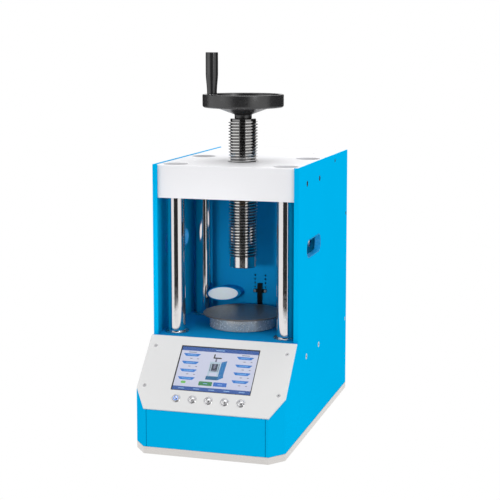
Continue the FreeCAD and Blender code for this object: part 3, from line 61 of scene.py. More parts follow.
# ---------------------------------------------------------------- sizes, in millimetres
SLOPE = math.radians(45)         # control panel
GLASS_THICK = 1.7
GLASS_GAP = 0.4                  # between the display's face and the glass
SCREEN_WIDTH = 161.0
SCREEN_HEIGHT = 101.0
BUTTON_FLANGE = 18.0
BUTTON_CAP = 13.0
BUTTON_BARREL = 16.0
BUTTON_COUNT = 5
BEZEL_BEHIND = 11.0              # barrel of the bezel, behind the panel's face
BLOCK_BEHIND = 24.0              # contact block, behind the panel's face
CAP_BEHIND = 8.0                 # cap's stem, behind the panel's face
CAP_PROUD = 3.15                 # cap's dome, out of the panel's face
CAP_FLAT = 2.2                   # height where the cap's dome starts
CAP_DOME = 0.9
LIT_RING = (3.4, 4.9)            # glowing ring on the lit cap, from and to this radius
LIT_CENTRE = 1.2                 # and its glowing middle
LIT_ABOVE = 1.6
WHEEL_DIA = 165.5
WHEEL_HUB_DIA = 35.0
WHEEL_BORE = 20.0
WHEEL_LOW = 634.0
WHEEL_RIM_LOW = 656.5
WHEEL_RIM_CORNER = 5.0
WHEEL_FLAT_DIA = 114.0
WHEEL_RIM_TOP = 683.0
WHEEL_WEB = 7.0
WHEEL_RIM_WALL = 9.0
WHEEL_HUB_LOW = 8.0              # plain hub under the web
WHEEL_SEAT_LONG = 28.0           # hub, over the end of the screw
GRIP_BOSS_DIA = 23.0
GRIP_TOP_DIA = 25.0
GRIP_BASE_DIA = 20.0
GRIP_TAPER = 44.0
GRIP_BOSS_UP = 2.0               # boss's lower face, above the rim's
GRIP_FOOT = 3.0                  # straight foot, under the taper
GRIP_PLAY = 0.1                  # on the spindle
SPINDLE_DIA = 8.0
HEAD_MARGIN = 2.8                # room for the spindle's head, beyond its shank
HEAD_POCKET_DOWN = 8.7           # pocket's top, below the grip's
HEAD_POCKET_HIGH = 5.6
REAR_FACE_Y = 282.0
INLET_ASIDE = 9.0                # inlet's middle, left of the module's
PIN_PLACES = ((-7, -2), (7, -2), (0, 2))
PIN_HALF = (1.05, 2.05)          # half a blade's width and height
PIN_FROM = 5.95
PIN_TO = 16.9
ROCKER_PIVOT_Z = 62.0
ROCKER_TILT = 10.0
ROCKER_FALL = (1.8, 9.5)         # a half's fall towards the pivot, over its length
MARK_OUT = 2.1                   # mark's face, behind the pivot
MARK_ASIDE = 4.75                # mark's middle, above or below the pivot
BAR_MARK = (0.45, 2.2)           # half the bar's width and height
RING_MARK = (2.1, 1.3)           # outer and inner radius
MARK_LAYER = (-0.05, 0.12)       # depth into the rocker and height out of it
SCREW_AXIS_Y = -30.0
THREAD_ROOT_RADIUS = 26.3
THREAD_SHADE = 1.4               # painted shade in the thread fades out this far from the root
THREAD_SHADE_TONE = 0.3          # brightness of the painted shade at the root, as a share of the metal's


# ---------------------------------------------------------------- colours and materials
def linear(red, green, blue):
    """An 8-bit display colour as linear light."""
    values = []
    for value in (red, green, blue):
        v = value / 255
        values.append(v / 12.92 if v <= 0.04045 else ((v + 0.055) / 1.055) ** 2.4)
    return tuple(values)


class Finish:
    """One procedural material, built up in steps."""

    def __init__(self, name, colour, roughness, metallic=0.0, **sockets):
        self.material = bpy.data.materials.new(name)
        self.material.use_nodes = True
        self.tree = self.material.node_tree
        self.shader = self.tree.nodes["Principled BSDF"]
        self.colour = linear(*colour)
        self.shader.inputs["Base Color"].default_value = (*self.colour, 1)
        self.shader.inputs["Roughness"].default_value = roughness
        self.shader.inputs["Metallic"].default_value = metallic
        for socket, value in sockets.items():
            self.shader.inputs[socket.replace("_", " ")].default_value = value

    def add(self, kind):
        return self.tree.nodes.new(kind)

    def noise(self, size, stretch=(1, 1, 1), detail=3.0):
        """Noise whose spots measure about size millimetres, drawn out along the axes by stretch."""
        place = self.add("ShaderNodeTexCoord")
        mapping = self.add("ShaderNodeMapping")
        mapping.inputs["Scale"].default_value = tuple(1 / s for s in stretch)
        noise = self.add("ShaderNodeTexNoise")
        noise.inputs["Scale"].default_value = 1 / (size * MM)
        noise.inputs["Detail"].default_value = detail
        self.tree.links.new(place.outputs["Object"], mapping.inputs["Vector"])
        self.tree.links.new(mapping.outputs["Vector"], noise.inputs["Vector"])
        return noise.outputs["Fac"]

    def mottled(self, size, amount, stretch=(1, 1, 1)):
        """Base colour that drifts lighter and darker."""
        mix = self.add("ShaderNodeMix")
        mix.data_type = "RGBA"
        dark = tuple(c * (1 - amount) for c in self.colour)
        light = tuple(min(1, c * (1 + amount)) for c in self.colour)
        mix.inputs["A"].default_value = (*dark, 1)
        mix.inputs["B"].default_value = (*light, 1)
        self.tree.links.new(self.noise(size, stretch), mix.inputs["Factor"])
        self.tree.links.new(mix.outputs["Result"], self.shader.inputs["Base Color"])
        return self

    def uneven(self, size, low, high, stretch=(1, 1, 1)):
        """Roughness that wanders between low and high."""
        ramp = self.add("ShaderNodeMapRange")
        ramp.inputs["From Min"].default_value = 0.3
        ramp.inputs["From Max"].default_value = 0.7
        ramp.inputs["To Min"].default_value = low
        ramp.inputs["To Max"].default_value = high
        self.tree.links.new(self.noise(size, stretch), ramp.inputs["Value"])
        self.tree.links.new(ramp.outputs["Result"], self.shader.inputs["Roughness"])
        return self

    def bumpy(self, size, depth, stretch=(1, 1, 1)):
        """Surface relief, depth in millimetres."""
        bump = self.add("ShaderNodeBump")
        bump.inputs["Distance"].default_value = depth * MM
        bump.inputs["Strength"].default_value = 1.0
        self.tree.links.new(self.noise(size, stretch), bump.inputs["Height"])
        self.tree.links.new(bump.outputs["Normal"], self.shader.inputs["Normal"])
        return self

    def done(self):
        return self.material


def powder_coat(name, colour, roughness=0.34):
    """Smooth gloss powder coat: a faint orange peel and a slow drift of tone."""
    finish = Finish(name, colour, roughness, Specular_IOR_Level=0.0)
    return finish.mottled(120, 0.02).uneven(14, roughness - 0.05, roughness + 0.05).bumpy(2.2, 0.012).done()


def textured_paint(name, colour, roughness=0.5):
    """Satin paint with a fine pebble texture."""
    return Finish(name, colour, roughness).mottled(60, 0.02).bumpy(0.7, 0.02).done()


def turned_metal(name, colour, low, high, lines=0.35, depth=0.003):
    """Metal turned on a lathe about a vertical axis: fine rings up the height."""
    finish = Finish(name, colour, (low + high) / 2, 1.0)
    rings = (200, 200, 1)
    return finish.mottled(lines * 3, 0.05, rings).uneven(lines * 2, low, high, rings).bumpy(
        lines, depth, rings).done()


def polished_metal(name, colour, low, high):
    """Plated or polished metal with faint handling haze."""
    finish = Finish(name, colour, (low + high) / 2, 1.0)
    return finish.mottled(25, 0.02).uneven(9, low, high).done()


def rolled_metal(name, colour, low, high, along=(60, 60, 1), line=0.5, depth=0.004):
    """Ground or rolled plate: streaks drawn out sideways."""
    finish = Finish(name, colour, (low + high) / 2, 1.0)
    return finish.mottled(line * 8, 0.06, along).uneven(line * 4, low, high, along).bumpy(
        line, depth, along).done()


def moulded_plastic(name, colour, roughness, grain=0.5, depth=0.01, **sockets):
    """Plastic, rubber or dull metal with a fine moulded grain; grain and depth in millimetres."""
    finish = Finish(name, colour, roughness, **sockets)
    return finish.mottled(12, 0.06).uneven(4, roughness - 0.05, roughness + 0.06).bumpy(grain, depth).done()


def glowing(name, colour, strength):
    """A lit surface: it shows its colour by its own light, and is dark without it."""
    finish = Finish(name, colour, 0.5, Specular_IOR_Level=0.2)
    finish.shader.inputs["Emission Color"].default_value = (*finish.colour, 1)
    finish.colour = tuple(c * 0.2 for c in finish.colour)
    finish.shader.inputs["Emission Strength"].default_value = strength
    return finish.mottled(8, 0.03).done()


def root_shaded_metal(name, colour, low, high):
    """Plated screw with painted shade in its thread, darker towards the root; distances from the screw's
    axis.
    """
    finish = Finish(name, colour, (low + high) / 2, 1.0)
    place = finish.add("ShaderNodeTexCoord")
    axis = finish.add("ShaderNodeVectorMath")
    axis.inputs[1].default_value = (0, -SCREW_AXIS_Y * MM, 0)
    flat = finish.add("ShaderNodeVectorMath")
    flat.operation = "MULTIPLY"
    flat.inputs[1].default_value = (1, 1, 0)
    length = finish.add("ShaderNodeVectorMath")
    length.operation = "LENGTH"
    shade = finish.add("ShaderNodeMapRange")
    shade.inputs["From Min"].default_value = THREAD_ROOT_RADIUS * MM
    shade.inputs["From Max"].default_value = (THREAD_ROOT_RADIUS + THREAD_SHADE) * MM
    mix = finish.add("ShaderNodeMix")
    mix.data_type = "RGBA"
    # painted shade: the thread's root is darker than the metal
    root = tuple(c * THREAD_SHADE_TONE for c in finish.colour)
    mix.inputs["A"].default_value = (*root, 1)
    mix.inputs["B"].default_value = (*finish.colour, 1)
    links = finish.tree.links
    links.new(place.outputs["Object"], axis.inputs[0])
    links.new(axis.outputs["Vector"], flat.inputs[0])
    links.new(flat.outputs["Vector"], length.inputs[0])
    links.new(length.outputs["Value"], shade.inputs["Value"])
    links.new(shade.outputs["Result"], mix.inputs["Factor"])
    links.new(mix.outputs["Result"], finish.shader.inputs["Base Color"])
    return finish.uneven(12, low, high).done()


FINISHES = {
    "blue_paint": powder_coat("blue_paint", (0, 174, 230)),
    # the chamber's blue is the same paint made darker: painted shade inside the chamber
    "blue_paint_chamber": powder_coat("blue_paint_chamber", (18, 146, 208), 0.26),
    "blue_plastic": moulded_plastic("blue_plastic", (30, 160, 225), 0.3),
    "white_paint": textured_paint("white_paint", (236, 236, 239), 0.46),
    "panel_grey": textured_paint("panel_grey", (221, 221, 221), 0.5),
    "machined_steel": rolled_metal("machined_steel", (214, 211, 208), 0.24, 0.4),
    "grey_steel_paint": textured_paint("grey_steel_paint", (120, 124, 128), 0.5),
    "black_oxide": moulded_plastic("black_oxide", (26, 26, 28), 0.38, 0.4, 0.006, Metallic=0.6),
    "bright_steel": rolled_metal("bright_steel", (196, 196, 198), 0.18, 0.34, (6, 6, 6), 0.3),
    "ground_steel": moulded_plastic("ground_steel", (206, 202, 198), 0.24, 0.35, 0.0006, Metallic=0.5),
    "polished_dark_steel": moulded_plastic("polished_dark_steel", (96, 90, 86), 0.34, 0.5, 0.001,
                                           Metallic=0.2),
    "chrome_column": polished_metal("chrome_column", (226, 224, 224), 0.06, 0.12),
    "chrome_screw": root_shaded_metal("chrome_screw", (226, 225, 224), 0.1, 0.18),
    "chrome_trim": polished_metal("chrome_trim", (222, 222, 224), 0.05, 0.12),
    "chrome_cap": polished_metal("chrome_cap", (216, 216, 218), 0.08, 0.16),
    "lit_cap": glowing("lit_cap", (70, 140, 240), 0.9),
    "bronze": turned_metal("bronze", (190, 148, 92), 0.22, 0.36),
    "seal_rubber": moulded_plastic("seal_rubber", (22, 22, 22), 0.62, 0.3, 0.02),
    "opal_lens": moulded_plastic("opal_lens", (236, 236, 237), 0.28, 1.2, 0.004, Subsurface_Weight=0.2,
                                 Emission_Color=(0.85, 0.87, 0.9, 1), Emission_Strength=0.22),
    "display_black": moulded_plastic("display_black", (18, 18, 20), 0.4),
    "zinc_sheet": rolled_metal("zinc_sheet", (176, 179, 182), 0.3, 0.46, (1, 40, 40)),
    "zinc_pipe": polished_metal("zinc_pipe", (188, 184, 170), 0.22, 0.34),
    "board_green": moulded_plastic("board_green", (12, 86, 44), 0.32),
    "motor_aluminium": textured_paint("motor_aluminium", (168, 170, 172), 0.4),
    "tank_paint": textured_paint("tank_paint", (44, 46, 48), 0.42),
    "black_plastic": moulded_plastic("black_plastic", (20, 20, 21), 0.42, 0.4, 0.012),
    "black_wheel": moulded_plastic("black_wheel", (38, 38, 39), 0.3, 0.6, 0.004,
                                   Specular_IOR_Level=0.8),
}


def clear_glass():
    glass = Finish("screen_glass", (236, 242, 248), 0.03, Transmission_Weight=1.0, IOR=1.45)
    return glass.uneven(40, 0.02, 0.05).done()


FINISHES["screen_glass"] = clear_glass()


def paint_cad_nodes():
    for part in frame["record"]["subparts"]:
        node = frame["nodes"][part["node"]]
        for material_slot in node.material_slots:
            material_slot.material = FINISHES[part["material_slot"]]


# ---------------------------------------------------------------- mesh helpers
def centre(node):
    low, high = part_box(node)
    return (low + high) / 2


def finish_piece(mesh, name, material, sharp=35.0):
    """A smooth-shaded object from a bmesh, its own edges sharp above an angle."""
    bmesh.ops.recalc_face_normals(mesh, faces=mesh.faces)
    data = bpy.data.meshes.new(name)
    mesh.to_mesh(data)
    mesh.free()
    data.shade_smooth()
    data.set_sharp_from_angle(angle=math.radians(sharp))
    materials = material if isinstance(material, list) else [material]
    for entry in materials:
        data.materials.append(entry)
    piece = bpy.data.objects.new(name, data)
    bpy.context.scene.collection.objects.link(piece)
    return piece


def rounded(points, radii, steps=6):
    """Closed outline with its corners turned into arcs; one radius per point, 0 keeps the corner."""
    outline = []
    count = len(points)
    for k, (point, radius) in enumerate(zip(points, radii)):
        corner = Vector(point)
        if radius == 0:
            outline.append(tuple(corner))
            continue
        back = (Vector(points[k - 1]) - corner).normalized()
        ahead = (Vector(points[(k + 1) % count]) - corner).normalized()
        half = back.angle(ahead) / 2
        start = corner + back * (radius / math.tan(half))
        end = corner + ahead * (radius / math.tan(half))
        middle = corner + (back + ahead).normalized() * (radius / math.sin(half))
        first = start - middle
        last = end - middle
        sweep = math.pi - 2 * half
        for step in range(steps + 1):
            share = step / steps
            a = math.sin((1 - share) * sweep) / math.sin(sweep)
            b = math.sin(share * sweep) / math.sin(sweep)
            outline.append(tuple(middle + first * a + last * b))
    return outline


def turned(profile, axis, steps=128):
    """bmesh turned about a vertical axis; profile is (radius, height) pairs in millimetres.

    A profile with both ends off the axis is closed on itself.
    """
    mesh = bmesh.new()
    rings = []
    for radius, height in profile:
        z = height * MM
        if radius < 1e-6:
            rings.append([mesh.verts.new((axis[0], axis[1], z))])
            continue
        ring = []
        for k in range(steps):
            turn = 2 * math.pi * k / steps
            x = axis[0] + radius * MM * math.cos(turn)
            y = axis[1] + radius * MM * math.sin(turn)
            ring.append(mesh.verts.new((x, y, z)))
        rings.append(ring)
    pairs = list(zip(rings, rings[1:]))
    if len(rings[0]) > 1 and len(rings[-1]) > 1:
        pairs.append((rings[-1], rings[0]))
    for lower, upper in pairs:
        for k in range(steps):
            after = (k + 1) % steps
            if len(lower) == 1 and len(upper) == 1:
                break
            if len(lower) == 1:
                mesh.faces.new((lower[0], upper[after], upper[k]))
            elif len(upper) == 1:
                mesh.faces.new((lower[k], lower[after], upper[0]))
            else:
                mesh.faces.new((lower[k], lower[after], upper[after], upper[k]))
    return mesh


def plate(mesh, outline, low, high, slot=0, matrix=None):
    """Adds a flat prism to a bmesh: (x, y) outline in millimetres, between two heights."""
    lower = [mesh.verts.new((x * MM, y * MM, low * MM)) for x, y in outline]
    upper = [mesh.verts.new((x * MM, y * MM, high * MM)) for x, y in outline]
    faces = [mesh.faces.new(lower[::-1]), mesh.faces.new(upper)]
    count = len(outline)
    for k in range(count):
        after = (k + 1) % count
        faces.append(mesh.faces.new((lower[k], lower[after], upper[after], upper[k])))
    for face in faces:
        face.material_index = slot
    if matrix is not None:
        bmesh.ops.transform(mesh, matrix=matrix, verts=lower + upper)


def rectangle(x0, x1, y0, y1, radius=0.0):
    points = [(x0, y0), (x1, y0), (x1, y1), (x0, y1)]
    return rounded(points, [radius] * 4) if radius else points


def disc(x, y, radius, steps=40):
    points = []
    for k in range(steps):
        turn = 2 * math.pi * k / steps
        points.append((x + radius * math.cos(turn), y + radius * math.sin(turn)))
    return points


def join_meshes(meshes):
    """One bmesh from several."""
    whole = bmesh.new()
    for mesh in meshes:
        data = bpy.data.meshes.new("part")
        mesh.to_mesh(data)
        mesh.free()
        whole.from_mesh(data)
        bpy.data.meshes.remove(data)
    return whole


def on_panel(point):
    """Matrix from the sloping panel's own frame, set at a point, to the model."""
    return Matrix.Translation(point) @ Matrix.Rotation(SLOPE, 4, "X")


# ---------------------------------------------------------------- handwheel and grip
def handwheel():
    axis = centre("lead_screw")
    rim = WHEEL_DIA / 2
    hub = WHEEL_HUB_DIA / 2
    flat = WHEEL_FLAT_DIA / 2
    bore = WHEEL_BORE / 2
    web = WHEEL_LOW + WHEEL_HUB_LOW
    hub_top = WHEEL_LOW + WHEEL_SEAT_LONG
    boss_low = WHEEL_RIM_LOW + GRIP_BOSS_UP
    boss_out = GRIP_BOSS_DIA / 2
    boss_bore = SPINDLE_DIA / 2
    corners = [
        (bore, WHEEL_LOW, 0), (hub, WHEEL_LOW, 1.0), (hub, web, 3.0), (flat, WHEEL_RIM_LOW, 8.0),
        (rim, WHEEL_RIM_LOW, WHEEL_RIM_CORNER), (rim, WHEEL_RIM_TOP, 1.6),
        (rim - WHEEL_RIM_WALL + 1, WHEEL_RIM_TOP, 2.2),
        (rim - WHEEL_RIM_WALL - 2, WHEEL_RIM_LOW + WHEEL_WEB, 5.0),
        (flat - 3, WHEEL_RIM_LOW + WHEEL_WEB, 8.0), (hub + 6, web + WHEEL_WEB, 6.0),
        (hub + 1, hub_top, 1.2), (bore, hub_top, 0),
    ]
    profile = rounded([(r, z) for r, z, _ in corners], [size for _, _, size in corners])
    wheel = turned(profile, axis, 160)
    boss_profile = rounded([(boss_bore, boss_low), (boss_out, boss_low), (boss_out, WHEEL_RIM_TOP),
                            (boss_bore, WHEEL_RIM_TOP)], [0, 0, 1.2, 0])
    boss = turned(boss_profile, centre("grip_handle"), 64)
    piece = finish_piece(join_meshes([wheel, boss]), "wheel_casting", FINISHES["black_wheel"])
    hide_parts("handwheel")
    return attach(piece, "screw")


def grip():
    black_grip = moulded_plastic("black_grip", (36, 36, 37), 0.14, 0.6, 0.002, Specular_IOR_Level=0.8)
    axis = centre("grip_handle")
    low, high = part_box("grip_handle")
    foot = low.z / MM
    top = high.z / MM
    base = GRIP_BASE_DIA / 2
    wide = GRIP_TOP_DIA / 2
    bore = SPINDLE_DIA / 2 + GRIP_PLAY
    head = SPINDLE_DIA / 2 + HEAD_MARGIN
    profile = rounded([(bore, foot), (base, foot), (base, foot + GRIP_FOOT)], [0, 0.9, 0])
    count = 18
    for k in range(1, count + 1):
        share = k / count
        swell = share * share * (3 - 2 * share)
        height = foot + GRIP_FOOT + (GRIP_TAPER - GRIP_FOOT) * share
        profile.append((base + (wide - base) * swell, height))
    profile += rounded([(wide, top - 3), (wide, top), (0, top)], [0, 1.1, 0])
    pocket = top - HEAD_POCKET_DOWN
    shoulder = pocket - HEAD_POCKET_HIGH
    profile += [(0, pocket), (head, pocket), (head, shoulder), (bore, shoulder)]
    piece = finish_piece(turned(profile, axis, 96), "grip_moulding", black_grip, 40)
    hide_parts("grip_handle")
    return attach(piece, "grip")


# ---------------------------------------------------------------- push buttons
def button_height():
    """Panel face, measured out of the slope from the centre of a cap's CAD solid."""
    return (CAP_BEHIND - CAP_PROUD) / 2


def ring_profile():
    """Bezel: a barrel behind the panel and a domed flange on it."""
    outer = BUTTON_FLANGE / 2
    bore = BUTTON_CAP / 2 + 0.3
    barrel = BUTTON_BARREL / 2
    points = [(bore, -BEZEL_BEHIND), (barrel, -BEZEL_BEHIND), (barrel, 0), (outer, 0),
              (outer, 1.0), (outer - 1.0, 1.75), (bore + 0.5, 1.75), (bore, 1.2)]
    return rounded(points, [0, 0, 0, 0, 0.5, 0.8, 0.3, 0.2])


def barrel_profile():
    """Threaded barrel and contact block behind the panel, under the bezel."""
    barrel = BUTTON_BARREL / 2
    top = -BEZEL_BEHIND - 0.02
    points = [(0, -BLOCK_BEHIND), (barrel, -BLOCK_BEHIND), (barrel, top), (0, top)]
    return rounded(points, [0, 0.6, 0.4, 0])


def button_bezels():
    rings = []
    for number in range(1, BUTTON_COUNT + 1):
        matrix = on_panel(button_point(number))
        for profile in (ring_profile(), barrel_profile()):
            ring = turned(profile, (0, 0), 72)
            bmesh.ops.transform(ring, matrix=matrix, verts=ring.verts)
            rings.append(ring)
    piece = finish_piece(join_meshes(rings), "bezel_rings", FINISHES["chrome_trim"])
    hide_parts("button_bezels")
    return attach(piece, "frame")


def button_point(number):
    """Where a button's axis meets the panel's face."""
    normal = Matrix.Rotation(SLOPE, 3, "X") @ UP
    return centre_of_cap(number) + normal * (button_height() * MM)


def centre_of_cap(number):
    return centre("button_cap_%d" % number)


def cap_profile():
    """Dished chrome cap: a rolled edge, a shallow groove and a domed middle."""
    r = BUTTON_CAP / 2
    points = [(0, -CAP_BEHIND), (r, -CAP_BEHIND), (r, 2.3), (r - 1.5, 2.35), (r - 1.9, 1.9),
              (r - 2.6, CAP_FLAT)]
    profile = rounded(points, [0, 0.4, 0.7, 0.3, 0.15, 0.2])
    dome = r - 2.8
    steps = 9
    for k in range(steps):
        angle = math.pi / 2 * (k + 1) / steps
        profile.append((dome * math.cos(angle), CAP_FLAT + CAP_DOME * math.sin(angle)))
    profile[-1] = (0, profile[-1][1])
    return profile


def button_caps():
    for number in range(1, BUTTON_COUNT + 1):
        lit = number == 1
        cap = turned(cap_profile(), (0, 0), 72)
        for face in cap.faces:
            middle = face.calc_center_median()
            out = math.hypot(middle.x, middle.y) / MM
            glows = LIT_RING[0] < out < LIT_RING[1] or out < LIT_CENTRE
            if lit and glows and middle.z > LIT_ABOVE * MM:
                face.material_index = 1
        bmesh.ops.transform(cap, matrix=on_panel(button_point(number)), verts=cap.verts)
        finishes = [FINISHES["chrome_cap"]]
        if lit:
            finishes.append(FINISHES["lit_cap"])
        piece = finish_piece(cap, "push_cap_%d" % number, finishes)
        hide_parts("button_cap_%d" % number)
        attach(piece, "button_%d" % number)


# ---------------------------------------------------------------- screen picture
SCREEN_INKS = {
    "ground": (226, 224, 240),
    "header": (44, 92, 168),
    "header_mark": (150, 190, 235),
    "pill": (36, 128, 214),
    "pill_light": (122, 186, 240),
    "dash": (126, 126, 146),
    "green": (52, 140, 78),
    "green_light": (120, 205, 92),
    "blue_key": (52, 116, 206),
    "press_side": (16, 124, 188),
    "press_front": (196, 214, 226),
    "press_dark": (42, 54, 74),
    "press_base": (14, 104, 148),
    "press_black": (24, 24, 26),
    "border": (20, 22, 26),
}


def pill(x, y, width, height):
    """Tab with slanting, rounded ends, wider at its top."""
    slant = height * 0.9
    points = [(x - width / 2 + slant, y), (x + width / 2 - slant, y),
              (x + width / 2, y + height), (x - width / 2, y + height)]
    return rounded(points, [height * 0.45, height * 0.45, height * 0.12, height * 0.12])


def screen_picture():
    """What the lit screen shows: plain bars, keys and a small picture of a press."""
    inks = {name: glowing("screen_" + name, colour, 0.8) for name, colour in SCREEN_INKS.items()}
    order = list(inks)
    mesh = bmesh.new()
    half_w = SCREEN_WIDTH / 2 - 1.0
    half_h = SCREEN_HEIGHT / 2 - 1.0
    layer = 0.05
    base = -GLASS_THICK / 2 - GLASS_GAP + 0.02

    def draw(outline, ink, level):
        low = base + layer * level
        plate(mesh, outline, low, low + layer * 0.8, order.index(ink))

    draw(rectangle(-half_w, half_w, -half_h, half_h), "border", 0)
    inner_w = half_w - 1.2
    inner_h = half_h - 1.0
    draw(rectangle(-inner_w, inner_w, -inner_h, inner_h), "ground", 1)
    bar = 8.4
    draw(rectangle(-inner_w, inner_w, inner_h - bar, inner_h), "header", 2)
    draw(rectangle(-inner_w, inner_w, -inner_h, -inner_h + bar), "header", 2)
    draw(rectangle(-9, 9, inner_h - bar / 2 - 1, inner_h - bar / 2 + 1, 0.9), "header_mark", 3)
    for k in range(5):
        x = -inner_w + 18 + k * 30.5
        y = -inner_h + bar / 2
        draw(rectangle(x - 6, x + 6, y - 0.8, y + 0.8, 0.7), "header_mark", 3)
    for side in (-1, 1):
        x = -55.5 if side < 0 else 53.5
        draw(rectangle(x - 8, x + 8, 36.0, 37.6, 0.7), "dash", 2)
        for k in range(4):
            y = 27.5 - k * 17.6
            draw(pill(x, y, 36, 6.2), "pill", 2)
            draw(rectangle(x - 9, x + 9, y + 2.4, y + 4.0, 0.7), "pill_light", 3)
            if side < 0 and k == 3:
                draw(rectangle(x - 9, x + 1, y - 8.2, y - 3.0, 2.4), "green_light", 2)
                continue
            draw(rectangle(x - 2.5, x + 2.5, y - 5.6, y - 4.2, 0.6), "dash", 2)
            draw(rectangle(x + 12, x + 16, y - 5.6, y - 4.2, 0.6), "dash", 2)
    draw(rectangle(-28, -1, -35.7, -26.7, 1.0), "green", 2)
    draw(rectangle(-19, -10, -32.0, -30.4, 0.7), "header_mark", 3)
    draw(rectangle(1.6, 28.6, -35.7, -26.7, 1.0), "blue_key", 2)
    draw(rectangle(10.6, 19.6, -32.0, -30.4, 0.7), "header_mark", 3)

    def shrunk(points):
        return [(x * 0.9 - 0.8, y * 0.9 + 2.2) for x, y in points]

    picture = [
        ([(8, -18), (20, -12), (22, 22), (10, 18)], "press_side", 2),
        (rectangle(-16, 9, -18, 18, 0.6), "press_front", 3),
        (rectangle(-13.5, 6.5, -6, 13, 0.5), "press_dark", 4),
        (rectangle(-12.1, -10.3, -6, 13), "press_front", 5),
        (rectangle(3.3, 5.1, -6, 13), "press_front", 5),
        (rectangle(-5.8, -1.2, 1, 13), "dash", 5),
        (rectangle(-9.5, 2.5, -5.5, -2.8, 0.5), "dash", 5),
        ([(-18, -27), (9, -27), (9, -18), (-18, -18)], "press_base", 3),
        ([(9, -27), (21, -20), (20, -12), (9, -18)], "press_side", 3),
        (rectangle(-12, 5, -17, -9.5, 0.8), "ground", 4),
        (rectangle(-5.4, -1.6, 18, 26), "dash", 3),
        (rectangle(-11, 8, 26, 29, 1.3), "press_black", 4),
        (rectangle(-10.5, -7.5, 29, 37, 1.0), "press_black", 4),
    ]
    for outline, ink, level in picture:
        draw(shrunk(outline), ink, level)

    bmesh.ops.transform(mesh, matrix=on_panel(centre("touch_glass")), verts=mesh.verts)
    piece = finish_piece(mesh, "screen_picture", [inks[name] for name in order], 20)
    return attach(piece, "frame")


# ---------------------------------------------------------------- mains inlet and switch
def inlet_pins():
    """Three plated blades in the inlet's socket, over the CAD ones."""
    middle = centre("power_entry_module")
    mesh = bmesh.new()
    wide, high = PIN_HALF
    upright = Matrix.Rotation(math.radians(90), 4, "X")
    for dx, dz in PIN_PLACES:
        x = middle.x / MM - INLET_ASIDE + dx
        z = middle.z / MM + dz
        outline = rounded([(x - wide, z - high), (x + wide, z - high), (x + wide, z + high),
                           (x - wide, z + high)], [0.3] * 4, 3)
        plate(mesh, outline, PIN_FROM - REAR_FACE_Y, PIN_TO - REAR_FACE_Y, 0, upright)
    piece = finish_piece(mesh, "inlet_pins", FINISHES["bright_steel"])
    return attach(piece, "frame")


def rocker_marks():
    """Off and on marks, a ring and a bar, printed on the two halves of the rocker."""
    low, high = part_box("power_rocker")
    pivot = Vector(((low.x + high.x) / 2, REAR_FACE_Y * MM, ROCKER_PIVOT_Z * MM))
    tilt = Matrix.Translation(pivot) @ Matrix.Rotation(math.radians(ROCKER_TILT), 4, "X")
    slope = math.atan2(*ROCKER_FALL)
    wide, tall = BAR_MARK
    sunk, proud = MARK_LAYER
    mesh = bmesh.new()
    for side in (-1, 1):
        face = Matrix.Translation((0, MARK_OUT * MM, side * MARK_ASIDE * MM))
        turn = Matrix.Rotation(math.radians(-90) + side * slope, 4, "X")
        matrix = tilt @ face @ turn
        if side > 0:
            plate(mesh, rectangle(-wide, wide, -tall, tall, 0.2), sunk, proud, 0, matrix)
            continue
        steps = 28
        outer = disc(0, 0, RING_MARK[0], steps)
        inner = disc(0, 0, RING_MARK[1], steps)
        for k in range(steps):
            after = (k + 1) % steps
            plate(mesh, [outer[k], outer[after], inner[after], inner[k]], sunk, proud, 0, matrix)
    bmesh.ops.remove_doubles(mesh, verts=mesh.verts, dist=1e-7)
    ink = moulded_plastic("rocker_ink", (226, 226, 224), 0.45)
    piece = finish_piece(mesh, "rocker_marks", ink)
    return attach(piece, "rocker")


# ---------------------------------------------------------------- studio
CAMERA_PLACE = (0.7437, -2.5356, 0.7911)
CAMERA_TURN = 16.229             # degrees to the left of +Y
CAMERA_TILT = 7.077              # degrees below the horizon
CAMERA_LENS = 92.47
CAMERA_RISE = -0.10              # lens shift, in picture widths
SENSOR_WIDTH = 36
SPOT_PLACE = (-0.1, -2.3, 0.62)
SPOT_TARGET = (-0.035, 0.0, 0.325)
SPOT_WIDTH = 7.4                 # degrees
SPOT_POWER = 66
FLAG_HEIGHT = 2.4
FLOOR_REACH = 40.0
MIDDLE = (0, 0, 0.35)            # what the lights point at


def camera():
    data = bpy.data.cameras.new("camera")
    data.lens = CAMERA_LENS
    data.sensor_width = SENSOR_WIDTH
    data.shift_y = CAMERA_RISE
    item = bpy.data.objects.new("camera", data)
    item.location = CAMERA_PLACE
    item.rotation_euler = (math.radians(90 - CAMERA_TILT), 0, math.radians(CAMERA_TURN))
    bpy.context.scene.collection.objects.link(item)
    bpy.context.scene.camera = item


def world():
    """Soft white surroundings, a little darker low down and towards the front."""
    sky = bpy.data.worlds.new("studio")
    sky.use_nodes = True
    tree = sky.node_tree
    place = tree.nodes.new("ShaderNodeTexCoord")
    split = tree.nodes.new("ShaderNodeSeparateXYZ")
    ramp = tree.nodes.new("ShaderNodeValToRGB")
    ramp.color_ramp.elements[0].position = 0.3
    ramp.color_ramp.elements[0].color = (0.78, 0.79, 0.80, 1)
    ramp.color_ramp.elements[1].position = 0.44
    ramp.color_ramp.elements[1].color = (1, 1, 1, 1)
    shift = tree.nodes.new("ShaderNodeMapRange")
    shift.inputs["From Min"].default_value = -1
    tree.links.new(place.outputs["Generated"], split.inputs["Vector"])
    tree.links.new(split.outputs["Z"], shift.inputs["Value"])
    tree.links.new(shift.outputs["Result"], ramp.inputs["Fac"])
    front = tree.nodes.new("ShaderNodeMapRange")
    front.inputs["From Min"].default_value = -1
    front.inputs["From Max"].default_value = 0.1
    front.inputs["To Min"].default_value = 0.66
    tree.links.new(split.outputs["Y"], front.inputs["Value"])
    tree.links.new(ramp.outputs["Color"], tree.nodes["Background"].inputs["Color"])
    tree.links.new(front.outputs["Result"], tree.nodes["Background"].inputs["Strength"])
    bpy.context.scene.world = sky


